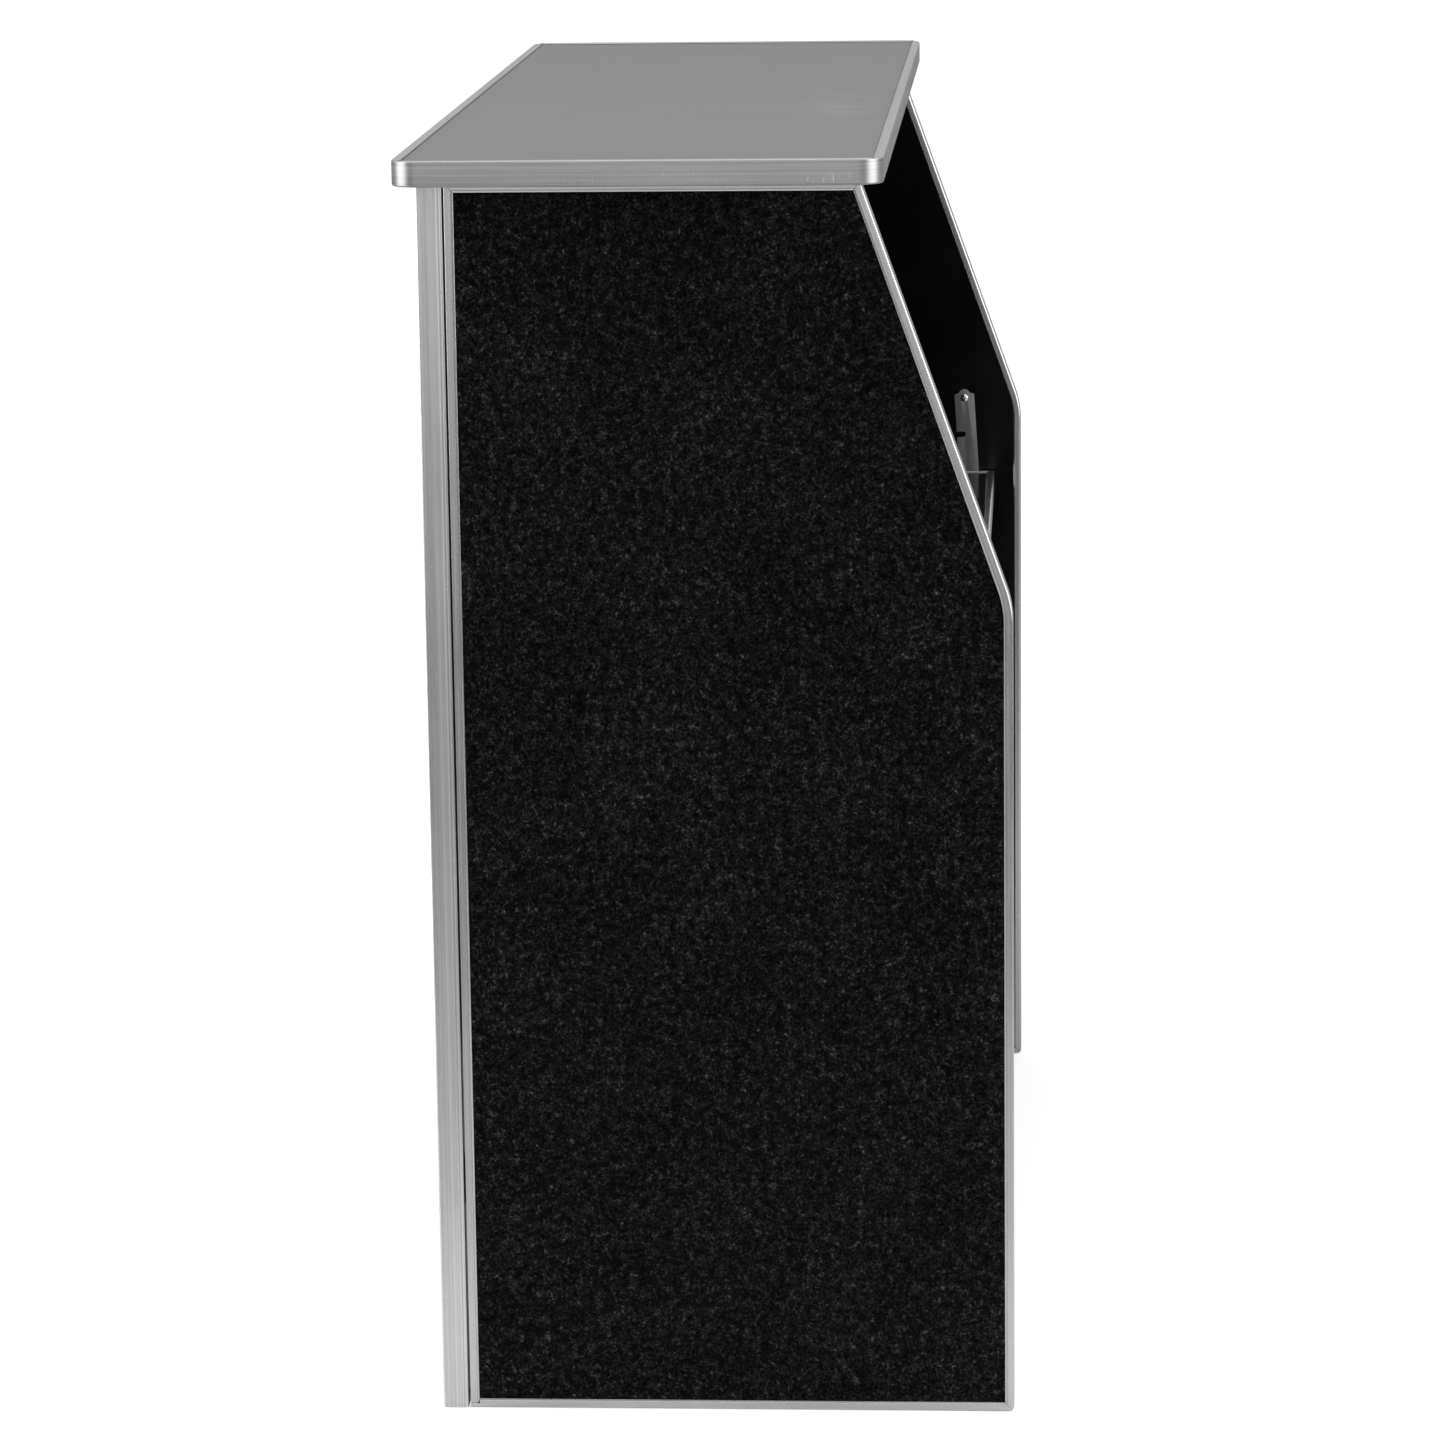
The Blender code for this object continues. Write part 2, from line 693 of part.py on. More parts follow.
def side_screw_cutter(side, sign):
    """Holes through one side panel's inner sheet into its core, and through its angles."""
    start = ANGLE_CORNER_X - ANGLE_THICKNESS - CUTTER_START
    points = [(ANGLE_CORNER_Y + ANGLE_SCREW_OFFSET, level) for _, level in ANGLE_LEVELS]
    points.append((STRAP_PIVOT_Y, STRAP_PIVOT_Z))
    holes = []
    for y, z in points:
        holes.append(((sign * start, y, z), (sign, 0, 0), CUTTER_LENGTH, SCREW_HOLE_RADIUS))
    return make_cutter("cutter_side_screws_" + side, holes, SCREW_SIDES)


def front_screw_cutter():
    """Holes through the front panel's inner sheet into its core, its angles and the ledge."""
    start_y = ANGLE_CORNER_Y + ANGLE_THICKNESS + CUTTER_START
    points = [(x, ledge_screw_z()) for _, x in LEDGE_SCREWS]
    for _, sign in SIDES:
        x = sign * (ANGLE_CORNER_X - ANGLE_SCREW_OFFSET)
        points += [(x, level) for _, level in ANGLE_LEVELS]
    holes = []
    for x, z in points:
        holes.append(((x, start_y, z), (0, -1, 0), CUTTER_LENGTH, SCREW_HOLE_RADIUS))
    return make_cutter("cutter_front_screws", holes, SCREW_SIDES)


def peg_cutter():
    """Holes for the pegs in the top's underside and in the side panels' upper edges."""
    start_z = PEG_BOTTOM - CUTTER_START
    length = PEG_TOP + GAP - start_z
    holes = []
    for _, sign in SIDES:
        for _, y in PEG_ROWS:
            holes.append(((sign * SIDE_CENTRE, y, start_z), (0, 0, 1), length, PEG_HOLE_RADIUS))
    return make_cutter("cutter_pegs", holes, PEG_SIDES)


def stud_cutter():
    """Holes for the studs in the shelf's end trims and core."""
    y, z = stud_point()
    start = STRAP_OUTER_X - STUD_LENGTH - GAP
    holes = []
    for _, sign in SIDES:
        holes.append(((sign * start, y, z), (sign, 0, 0), STUD_LENGTH, STUD_HOLE_RADIUS))
    return make_cutter("cutter_studs", holes, PEG_SIDES)


def make_looks():
    return {
        "trim": make_material("aluminium_trim", (0.62, 0.62, 0.62), 0.32, 1.0),
        "speckled": make_material("black_speckled_laminate", (0.012, 0.012, 0.012), 0.35, 0.0),
        "black": make_material("black_gloss_laminate", (0.005, 0.005, 0.005), 0.12, 0.0),
        "grey": make_material("grey_laminate", (0.28, 0.28, 0.28), 0.45, 0.0),
        "core": make_material("board_core", (0.42, 0.30, 0.19), 0.85, 0.0),
        "steel": make_material("grey_steel", (0.30, 0.30, 0.30), 0.40, 1.0),
        "screw": make_material("bright_screw", (0.75, 0.75, 0.75), 0.20, 1.0),
    }


def main():
    clear_scene()
    looks = make_looks()
    frame = make_empty("frame_root")
    top = make_empty("top_root")
    shelf = make_empty("shelf_root")
    pegs = peg_cutter()
    studs = stud_cutter()
    front_screws = front_screw_cutter()

    front_core, _, front_inner = make_front(looks, frame)
    cut(front_core, front_screws)
    cut(front_inner, front_screws)
    ledge = make_ledge(looks, frame)
    cut(ledge, front_screws)
    for side, sign in SIDES:
        side_screws = side_screw_cutter(side, sign)
        core, inner_sheet, top_trim = make_side(side, sign, looks, frame)
        cut(core, side_screws)
        cut(inner_sheet, side_screws)
        cut(core, pegs)
        cut(top_trim, pegs)
        for angle in make_corner(side, sign, looks, frame):
            cut(angle, side_screws)
            cut(angle, front_screws)
        make_strap(side, sign, looks)
        make_pivot(side, sign, looks, frame)

    for piece in make_shelf(looks, shelf):
        cut(piece, studs)
    for side, sign in SIDES:
        make_stud(side, sign, looks, shelf)

    make_top_band(looks, top)
    top_core, _, balance_sheet = make_top(looks, top)
    cut(top_core, pegs)
    cut(balance_sheet, pegs)
    for side, sign in SIDES:
        for row, y in PEG_ROWS:
            make_peg("top_peg_" + row + "_" + side, sign, y, looks, top)


main()
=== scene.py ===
import json
import math

import bmesh
import bpy
from mathutils import Matrix, Vector


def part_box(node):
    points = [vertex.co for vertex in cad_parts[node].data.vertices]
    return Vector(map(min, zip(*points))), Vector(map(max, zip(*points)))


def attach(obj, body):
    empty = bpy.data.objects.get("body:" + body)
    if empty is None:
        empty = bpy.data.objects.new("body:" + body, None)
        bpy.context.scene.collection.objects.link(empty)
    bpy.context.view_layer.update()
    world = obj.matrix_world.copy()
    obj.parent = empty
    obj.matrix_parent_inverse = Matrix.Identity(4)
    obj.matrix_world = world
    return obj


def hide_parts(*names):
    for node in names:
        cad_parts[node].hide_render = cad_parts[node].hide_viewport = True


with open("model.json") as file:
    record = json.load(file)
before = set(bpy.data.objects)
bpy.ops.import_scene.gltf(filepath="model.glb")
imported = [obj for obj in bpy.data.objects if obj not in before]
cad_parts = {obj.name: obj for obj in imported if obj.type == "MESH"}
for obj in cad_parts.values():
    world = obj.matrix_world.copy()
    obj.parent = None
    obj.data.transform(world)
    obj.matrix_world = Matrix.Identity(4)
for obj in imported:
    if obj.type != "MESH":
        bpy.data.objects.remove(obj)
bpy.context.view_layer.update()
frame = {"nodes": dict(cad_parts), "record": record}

# Where things are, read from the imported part.
RECORD = frame["record"]
BODY = {node: body for body, nodes in RECORD["behaviour"]["bodies"].items() for node in nodes}
SLOT = {part["node"]: part["material_slot"] for part in RECORD["subparts"]}
BAND_LOW, BAND_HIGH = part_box("top_edge_band")
POST_LOW, POST_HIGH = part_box("front_post_right")
FRONT_TRIM_LOW, FRONT_TRIM_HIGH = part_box("side_right_front_trim")
TOP_TRIM_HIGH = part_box("side_right_top_trim")[1]
SHELF_TRIM_LOW, SHELF_TRIM_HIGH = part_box("shelf_left_trim")
SIDES = (("left", -1), ("right", 1))

# The panels and the shelf. A trim is EDGE wide over the panel's thickness.
EDGE = POST_HIGH.y - POST_LOW.y
PANEL_TOP = TOP_TRIM_HIGH.z
PANEL_HALF = POST_HIGH.x
FRONT_CENTRE = (POST_LOW.y + POST_HIGH.y) / 2
SIDE_CENTRE = (FRONT_TRIM_LOW.x + FRONT_TRIM_HIGH.x) / 2
SIDE_FRONT = FRONT_TRIM_LOW.y
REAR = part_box("side_right_rear_trim")[1].y
SLOPE_TOP_Y = TOP_TRIM_HIGH.y
SLOPE_ANGLE = math.radians(19.45)
SLOPE_START = PANEL_TOP - (REAR - SLOPE_TOP_Y) / math.tan(SLOPE_ANGLE)
BEND_RADIUS = 0.095
BEND_STEPS = 16
SHELF_CENTRE = (SHELF_TRIM_LOW.z + SHELF_TRIM_HIGH.z) / 2
SHELF_HALF = -SHELF_TRIM_LOW.x
SHELF_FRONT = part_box("shelf_front_trim")[0].y
SHELF_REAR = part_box("shelf_rear_trim")[1].y

# The trim's section: a web, and two flanges that end in a bead and a lip over the laminate.
FLANGE = 0.008
WEB = 0.0018
LIP = 0.0012
BEAD_START = 0.0061
BEAD_GROOVE_WIDTH = 0.0004
BEAD_GROOVE_DEPTH = 0.00025
BEAD_RISE = 0.00005
BEAD_DROP = 0.0006
TIP_BEVEL = 0.0002
EDGE_RADIUS = 0.0022
POST_EDGE_RADIUS = 0.0013
CRISP_EDGE_RADIUS = 0.0009
EDGE_STEPS = 8
# A support point this far along a flat from its rounded corner keeps the flat's shading flat.
SUPPORT = 0.00006

# The trims' joints and ends.
GAP = 0.0003
MITRE_GAP = 0.0002
POST_FOOT = 0.0015
FOOT_RADIUS = 0.005
FOOT_STEPS = 6
FRONT_END = 0.0042
FRONT_END_RADIUS = 0.0028
FRONT_END_STEPS = 6
# How much of the rounding the front trim's flange tips take.
FRONT_END_TIP_SHARE = 0.8
# The bottom trim's front tip is set in, and its nose ends this far behind the front.
BOTTOM_TIP_INSET = 0.0006
BOTTOM_NOSE = 0.0020
PEG_CLEARANCE = 0.0003
PEG_HOLE_SIDES = 32
PEG_HOLE_MARGIN = 0.001

# The top's band.
BAND_RADIUS = 0.024
BAND_STEPS = 14
BAND_EDGE_RADIUS = 0.0016
BAND_CHAMFER = 0.0016
BAND_CHAMFER_MIDDLE = (0.0006, 0.0004)
BAND_CHAMFER_DROP = 0.0009
BAND_LOWER_CHAMFER = 0.0004

# Steel parts' eased edges.
THIN_EASE = 0.0003
EASE = 0.0004
EASE_STEPS = 3

# Screws.
HEAD_RADIUS = 0.0042
HEAD_HEIGHT = 0.0022
HEAD_RIM = 0.0004
HEAD_ROUNDING = 0.00015
HEAD_SIDES = 40
DOME_STEPS = 8
DOME_FULLNESS = 0.8
SHANK_RADIUS = 0.0016
SHANK_LENGTH = 0.012
THREAD_DEPTH = 0.00035
THREAD_PITCH = 0.0012
POINT_LENGTH = 0.0024
RECESS_WIDTH = 0.00085
RECESS_REACH = 0.0023
RECESS_DEPTH = 0.0014
# The recess cutter's (height, reach), above the head and at the recess's floor.
RECESS_LAYERS = (
    (HEAD_HEIGHT + 0.001, RECESS_REACH * 1.25),
    (HEAD_HEIGHT - RECESS_DEPTH, RECESS_REACH * 0.45),
)
PIVOT_RADIUS = 0.0025
PIVOT_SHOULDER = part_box("side_right_inner_laminate")[0].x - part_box("shelf_strap_right")[0].x

# Tolerances and angles, the angles in degrees but for the quarter turn.
WELD = 1e-6
SAME_PLANE = 1.0
HARD_EDGE = 35.0
SHARP = 30.0
SHARP_SMALL = 40.0
QUARTER = math.pi / 2


# Small helpers for meshes.


def arc(centre, radius, start, end, steps):
    points = []
    for step in range(steps + 1):
        angle = start + (end - start) * step / steps
        points.append((centre[0] + radius * math.cos(angle), centre[1] + radius * math.sin(angle)))
    return points


def plain_object(name, bm):
    mesh = bpy.data.meshes.new(name)
    bm.to_mesh(mesh)
    bm.free()
    obj = bpy.data.objects.new(name, mesh)
    bpy.context.scene.collection.objects.link(obj)
    return obj


def finish_mesh(name, bm, material, sharp=SHARP):
    """A welded, smooth-shaded object, with edges sharper than the angle kept sharp."""
    bmesh.ops.remove_doubles(bm, verts=bm.verts, dist=WELD)
    bmesh.ops.dissolve_degenerate(bm, edges=bm.edges, dist=WELD)
    bmesh.ops.recalc_face_normals(bm, faces=bm.faces)
    obj = plain_object(name, bm)
    obj.data.shade_smooth()
    obj.data.set_sharp_from_angle(angle=math.radians(sharp))
    obj.data.materials.append(material)
    return obj


def discard(obj):
    mesh = obj.data
    bpy.data.objects.remove(obj)
    bpy.data.meshes.remove(mesh)


def carved(obj, cutter):
    """The object's mesh with the cutter's volume taken out; the cutter is used up."""
    cut = obj.modifiers.new("cut", "BOOLEAN")
    cut.operation = "DIFFERENCE"
    cut.solver = "EXACT"
    cut.use_self = True
    cut.object = cutter
    graph = bpy.context.evaluated_depsgraph_get()
    made = bpy.data.meshes.new_from_object(obj.evaluated_get(graph))
    obj.modifiers.clear()
    discard(cutter)
    return made


def stand_for(obj, *nodes):
    """The piece rides with the first node's body and replaces the nodes."""
    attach(obj, BODY[nodes[0]])
    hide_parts(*nodes)


def distances(points):
    """How far along a closed line each point is; the last number is its whole length."""
    found = [0.0]
    for here, after in zip(points, points[1:] + points[:1]):
        found.append(found[-1] + math.dist(here, after))
    return found


def loft(name, section, rings, place, material):
    """Joins rings of one closed section.

    A ring maps (across, depth) to a point in the panel's plane.
    The UV map runs in metres: along the piece, then round the section.
    """
    bm = bmesh.new()
    uv = bm.loops.layers.uv.new("grain")
    girth = distances(section)
    loops, along = [], [0.0]
    for ring in rings:
        spots = [place(*ring(across, depth), across) for across, depth in section]
        loops.append([bm.verts.new(spot) for spot in spots])
        if len(loops) > 1:
            along.append(along[-1] + (loops[-1][0].co - loops[-2][0].co).length)
    count = len(section)
    for index, (near, far) in enumerate(zip(loops, loops[1:])):
        for side in range(count):
            after = (side + 1) % count
            face = bm.faces.new((near[side], near[after], far[after], far[side]))
            corners = ((index, side), (index, side + 1), (index + 1, side + 1), (index + 1, side))
            for loop, (row, column) in zip(face.loops, corners):
                loop[uv].uv = (along[row], girth[column])
    for ends in (loops[0], loops[-1]):
        face = bm.faces.new(ends)
        for loop, (across, depth) in zip(face.loops, section):
            loop[uv].uv = (across, depth)
    return finish_mesh(name, bm, material)


def half_section(radius):
    """One half of the trim's outer line, from the web's corner to the flange's tip."""
    half = EDGE / 2
    corner = arc((half - radius, radius), radius, -QUARTER, 0, EDGE_STEPS)
    return [
        (half - radius - SUPPORT, 0.0),
        *corner,
        (half, radius + SUPPORT),
        (half, BEAD_START),
        (half - BEAD_GROOVE_DEPTH, BEAD_START + BEAD_GROOVE_WIDTH / 2),
        (half - BEAD_RISE, BEAD_START + BEAD_GROOVE_WIDTH),
        (half - BEAD_DROP, FLANGE - TIP_BEVEL),
        (half - BEAD_DROP - TIP_BEVEL, FLANGE),
        (half - LIP, FLANGE),
    ]


def trim_section(radius):
    """The trim's closed section, as (across, depth) pairs."""
    half = EDGE / 2
    right = half_section(radius)
    left = [(-across, depth) for across, depth in reversed(right)]
    return left + right + [(half - LIP, WEB), (LIP - half, WEB)]


# Paths in a panel's plane.


def station(point, inward):
    """A plain ring at a point, whose depth runs inwards."""

    def ring(across, depth):
        return point[0] + depth * inward[0], point[1] + depth * inward[1]

    return ring


def straight(start, end, inward):
    """Two plain rings at the ends of a straight run."""
    return [station(start, inward), station(end, inward)]


def side_outline():
    """A side panel's outline as (y, z) points, from the lower front corner to the rear."""
    bend_length = BEND_RADIUS * math.tan(SLOPE_ANGLE / 2)
    centre = (REAR - BEND_RADIUS, SLOPE_START - bend_length)
    bend = arc(centre, BEND_RADIUS, 0, SLOPE_ANGLE, BEND_STEPS)
    upper = [(SLOPE_TOP_Y, PANEL_TOP), (SIDE_FRONT, PANEL_TOP)]
    return [(SIDE_FRONT, 0.0), (REAR, 0.0)] + bend + upper


def mitres(outline):
    """The vector at each corner that moves both edges inwards by one unit."""
    found = []
    for index, here in enumerate(outline):
        before = outline[index - 1]
        after = outline[(index + 1) % len(outline)]
        normals = []
        for start, end in ((before, here), (here, after)):
            length = math.dist(start, end)
            normals.append(Vector(((start[1] - end[1]) / length, (end[0] - start[0]) / length)))
        found.append((normals[0] + normals[1]) / (1 + normals[0].dot(normals[1])))
    return found


def run(outline, first, last):
    """Rings from one corner of an outline to another, held back a little at both mitres."""
    vectors = mitres(outline)
    count = len(outline)
    indices = [(first + step) % count for step in range((last - first) % count + 1)]
    points = [Vector(outline[index]) for index in indices]
    points[0] += (points[1] - points[0]).normalized() * MITRE_GAP
    points[-1] += (points[-2] - points[-1]).normalized() * MITRE_GAP
    return [station(point, vectors[index]) for point, index in zip(points, indices)]


def foot_cut(height):
    """How far the rounded lower rear corner is set in at a height above the floor."""
    if height >= FOOT_RADIUS:
        return 0.0
    return FOOT_RADIUS - math.sqrt(FOOT_RADIUS**2 - (FOOT_RADIUS - height) ** 2)


def foot_rings(swap):
    """Rings round the lower rear corner, from its mitre; swap gives the bottom trim's."""
    corner = FOOT_RADIUS * (1 - math.sqrt(0.5))
    heights = [0.0]
    for step in range(1, FOOT_STEPS + 1):
        heights.append(corner + (FOOT_RADIUS - corner) * step / FOOT_STEPS)

    def make(height):
        inset = corner if height == 0.0 else foot_cut(height)

        def ring(across, depth):
            set_in = max(depth, inset)
            along = max(height, set_in + MITRE_GAP)
            if swap:
                return REAR - along, set_in
            return REAR - set_in, along

        return ring

    return [make(height) for height in heights]


def front_end_rings():
    """The front trim's rounded lower end, from its tip up."""
    rings = []
    for step in range(FRONT_END_STEPS + 1):
        angle = QUARTER * step / FRONT_END_STEPS
        set_in = FRONT_END_RADIUS * (1 - math.sin(angle))
        height = FRONT_END + FRONT_END_RADIUS * (1 - math.cos(angle))

        def ring(across, depth, set_in=set_in, height=height):
            inside = min(max(depth, set_in), FLANGE - set_in * FRONT_END_TIP_SHARE)
            return SIDE_FRONT + inside, height

        rings.append(ring)
    return rings


# Where a point in a panel's plane, and its place across the thickness, are in the part.


def side_place(sign):
    return lambda y, z, t: Vector((sign * (SIDE_CENTRE + t), y, z))


def front_place(x, z, t):
    return Vector((x, FRONT_CENTRE - t, z))


def shelf_place(x, y, t):
    return Vector((x, y, SHELF_CENTRE + t))


# Materials. Tones, weights and ranges are fitted to the photo by its grey levels.

TOP_HALF_X = BAND_HIGH.x - FLANGE
TOP_HALF_Y = (BAND_HIGH.y - BAND_LOW.y) / 2 - FLANGE
TOP_MIDDLE_Y = (BAND_HIGH.y + BAND_LOW.y) / 2
# How close to the band's flange the painted joint shade is full, and where it has faded out.
JOINT_SHADE_REACH = (0.0004, 0.0018)
RUB_PLACE = (0.14, 0.097)
RUB_REACH = (0.02, 0.17)
RUB_STRETCH = 4.0
SPECKLE_STEEPNESS = 9000.0
SPECKLE_TONE = 0.0057
SPECKLE_PALEST = 0.12
# The part of a line's half width that has its full strength, for die lines and painted highlights
# alike.
DIE_AND_HIGHLIGHT_LINE_CORE = 0.4


class Look:
    """A Principled material and short ways to add nodes to it."""

    def __init__(self, name, colour, roughness, metallic=0.0, specular=0.5):
        self.material = bpy.data.materials.new(name)
        self.material.use_nodes = True
        self.tree = self.material.node_tree
        self.shader = self.tree.nodes["Principled BSDF"]
        self.set(self.shader, "Base Color", (*colour, 1.0))
        self.set(self.shader, "Roughness", roughness)
        self.set(self.shader, "Metallic", metallic)
        self.set(self.shader, "Specular IOR Level", specular)

    def set(self, node, socket, value):
        if isinstance(value, bpy.types.NodeSocket):
            self.tree.links.new(value, node.inputs[socket])
        else:
            node.inputs[socket].default_value = value

    def node(self, kind, settings=None, **sockets):
        node = self.tree.nodes.new("ShaderNode" + kind)
        for key, value in (settings or {}).items():
            setattr(node, key, value)
        for key, value in sockets.items():
            self.set(node, key, value)
        return node

    def object_point(self, scale=(1, 1, 1)):
        coordinate = self.node("TexCoord").outputs["Object"]
        return self.scaled(coordinate, scale)

    def grain_point(self, scale=(1, 1, 1)):
        coordinate = self.node("UVMap", {"uv_map": "grain"}).outputs["UV"]
        return self.scaled(coordinate, scale)

    def scaled(self, coordinate, scale):
        return self.node("Mapping", Vector=coordinate, Scale=scale).outputs["Vector"]

    def noise(self, point, scale, detail=2.0, roughness=0.5, distortion=0.0):
        node = self.node("TexNoise", Vector=point, Scale=scale, Detail=detail)
        self.set(node, "Roughness", roughness)
        self.set(node, "Distortion", distortion)
        return node.outputs["Fac"]

    def span(self, value, low, high, out_low=0.0, out_high=1.0):
        node = self.node("MapRange", Value=value)
        self.set(node, "From Min", low)
        self.set(node, "From Max", high)
        self.set(node, "To Min", out_low)
        self.set(node, "To Max", out_high)
        return node.outputs["Result"]

    def math(self, operation, first, second=0.0):
        node = self.node("Math", {"operation": operation})
        self.set(node, 0, first)
        self.set(node, 1, second)
        return node.outputs[0]

    def times(self, first, second):
        return self.math("MULTIPLY", first, second)

    def weighted(self, *terms):
        """The sum of (value, weight) pairs."""
        total = self.times(*terms[0])
        for value, weight in terms[1:]:
            total = self.math("ADD", total, self.times(value, weight))
        return total

    def mix(self, factor, first, second):
        node = self.node("Mix", {"data_type": "RGBA"})
        self.set(node, 0, factor)
        for socket, value in ((6, first), (7, second)):
            is_colour = not isinstance(value, bpy.types.NodeSocket)
            self.set(node, socket, (*value, 1.0) if is_colour else value)
        return node.outputs[2]

    def bump(self, height, distance, strength=1.0, after=None):
        node = self.node("Bump", Height=height, Distance=distance, Strength=strength)
        if after is not None:
            self.set(node, "Normal", after)
        return node.outputs["Normal"]

    def finish(self, colour, roughness, normal):
        """Connects what every look here varies, and gives the material."""
        self.set(self.shader, "Base Color", colour)
        self.set(self.shader, "Roughness", roughness)
        self.set(self.shader, "Normal", normal)
        return self.material


def grey(value):
    return (value, value, value)


def with_die_and_highlight_lines(look, colour, lines, die_and_highlight_lines):
    """The colour with lines along the piece drawn on it, die lines and painted edge highlights, in
    the form of the post's table of lines.
    """
    if not die_and_highlight_lines:
        return colour
    across = look.node("SeparateXYZ", Vector=look.object_point()).outputs["Y"]
    waver = look.span(lines, 0.35, 0.65, 0.55, 1.0)
    for place, half_width, tone, strength in die_and_highlight_lines:
        away = look.math("ABSOLUTE", look.math("SUBTRACT", across, place))
        core = half_width * DIE_AND_HIGHLIGHT_LINE_CORE
        there = look.times(look.span(away, core, half_width, strength, 0.0), waver)
        colour = look.mix(there, colour, grey(tone))
    return colour


def make_aluminium(name, bright, rough, line_depth, streak=0.18, die_and_highlight_lines=()):
    """Satin anodised aluminium, brushed along the grain map's first axis."""
    look = Look(name, grey(bright), rough, metallic=1.0)
    hair = look.noise(look.grain_point((9, 2600, 1)), 1.0, 4.0, 0.6)
    lines = look.noise(look.grain_point((0.9, 420, 1)), 1.0, 3.0, 0.55)
    clouds = look.noise(look.grain_point((7, 45, 1)), 1.0, 3.0, 0.6)
    tone = look.weighted((hair, 0.35), (lines, 0.45), (clouds, 0.20))
    dark, pale = grey(bright * (1 - streak)), grey(min(bright * (1 + streak), 1.0))
    colour = look.mix(look.span(tone, 0.36, 0.64), dark, pale)
    # Die lines, and painted highlights along rounded edges, where a table of them is given.
    colour = with_die_and_highlight_lines(look, colour, lines, die_and_highlight_lines)
    # Short pale nicks across the grain and dark scuffs, few and far between.
    nick = look.noise(look.grain_point((620, 55, 1)), 1.0, 1.0, 0.4)
    area = look.noise(look.grain_point((11, 30, 3)), 1.0, 1.0, 0.4)
    nicks = look.times(look.span(nick, 0.69, 0.75), look.span(area, 0.54, 0.62))
    colour = look.mix(look.times(nicks, 0.75), colour, grey(0.92))
    scuff = look.noise(look.grain_point((240, 210, 7)), 1.0, 2.0, 0.5)
    scuffs = look.times(look.span(scuff, 0.70, 0.78), look.span(area, 0.42, 0.34))
    colour = look.mix(look.times(scuffs, 0.7), colour, grey(bright * 0.25))
    roughness = look.span(tone, 0.34, 0.66, rough - 0.05, rough + 0.07)
    normal = look.bump(hair, line_depth * 0.12, 1.0, look.bump(lines, line_depth))
    return look.finish(colour, roughness, normal)


def make_speckled():
    """Black laminate with a fine pale speckle, in soft patches."""
    look = Look("speckled_laminate_look", grey(0.006), 0.42, specular=0.03)
    point = look.object_point()
    grains = look.noise(point, 430.0, 2.0, 0.6, 0.8)
    patches = look.noise(point, 130.0, 3.0, 0.6)
    clouds = look.noise(point, 12.0, 2.0, 0.5)
    level = grains
    for broad, weight in ((patches, 0.60), (clouds, 0.12)):
        level = look.math("ADD", level, look.times(look.math("SUBTRACT", broad, 0.5), weight))
    # The tone rises steeply with the noise: a few grains stand out and most stay near black.
    steep = look.math("POWER", SPECKLE_STEEPNESS, look.math("SUBTRACT", level, 0.5))
    tone = look.times(steep, SPECKLE_TONE)
    fleck = look.noise(point, 610.0, 1.0, 0.5, 1.4)
    flecks = look.times(look.span(fleck, 0.70, 0.79), look.span(level, 0.48, 0.62))
    tone = look.math("ADD", tone, look.times(flecks, 0.05))
    tone = look.math("MINIMUM", tone, SPECKLE_PALEST)
    colour = look.node("CombineColor", Red=tone, Green=tone, Blue=tone).outputs[0]
    return look.finish(
        colour, look.span(patches, 0.3, 0.7, 0.38, 0.48), look.bump(grains, 0.00003)
    )


def painted_joint_shade(look):
    """How much painted shade lies on the top along its joint with the band's flange, broken up by
    noise.
    """
    point = look.object_point()
    split = look.node("SeparateXYZ", Vector=point)
    from_end = look.math("SUBTRACT", TOP_HALF_X, look.math("ABSOLUTE", split.outputs["X"]))
    from_middle = look.math("ABSOLUTE", look.math("SUBTRACT", split.outputs["Y"], TOP_MIDDLE_Y))
    from_side = look.math("SUBTRACT", TOP_HALF_Y, from_middle)
    near = look.span(look.math("MINIMUM", from_end, from_side), *JOINT_SHADE_REACH, 1.0, 0.0)
    shade_breaks = look.noise(point, 180.0, 3.0, 0.6)
    return look.times(near, look.span(shade_breaks, 0.3, 0.55, 0.4, 1.0))


def faint_rub(look):
    """How rubbed the top is: one streaky oval, longer across the counter than deep."""
    offset = look.node("VectorMath", {"operation": "DISTANCE"})
    look.set(offset, 0, look.object_point((1.0, RUB_STRETCH, 1.0)))
    look.set(offset, 1, (RUB_PLACE[0], RUB_PLACE[1] * RUB_STRETCH, BAND_HIGH.z))
    near = look.span(offset.outputs["Value"], *RUB_REACH, 1.0, 0.0)
    streaks = look.noise(look.object_point((60, 14, 1)), 1.0, 3.0, 0.6)
    return look.times(near, look.span(streaks, 0.4, 0.65))


def make_grey_laminate():
    """Mid-grey laminate, brushed along the top's depth, with a faint rub and painted shade along
    its joint with the band's flange.
    """
    look = Look("grey_laminate_look", grey(0.27), 0.42, specular=0.35)
    hair = look.noise(look.object_point((1900, 14, 1)), 1.0, 4.0, 0.6)
    broad = look.noise(look.object_point((260, 2.5, 1)), 1.0, 3.0, 0.5)
    clouds = look.noise(look.object_point((9, 12, 1)), 1.0, 3.0, 0.6)
    tone = look.weighted((hair, 0.5), (broad, 0.3), (clouds, 0.2))
    colour = look.mix(look.span(tone, 0.36, 0.64), grey(0.128), grey(0.162))
    # Painted shade: the top darkened to near black next to the band's flange.
    colour = look.mix(look.times(painted_joint_shade(look), 0.8), colour, grey(0.03))
    colour = look.mix(look.times(faint_rub(look), 0.55), colour, grey(0.26))
    return look.finish(colour, look.span(tone, 0.36, 0.64, 0.38, 0.50), look.bump(hair, 0.00002))


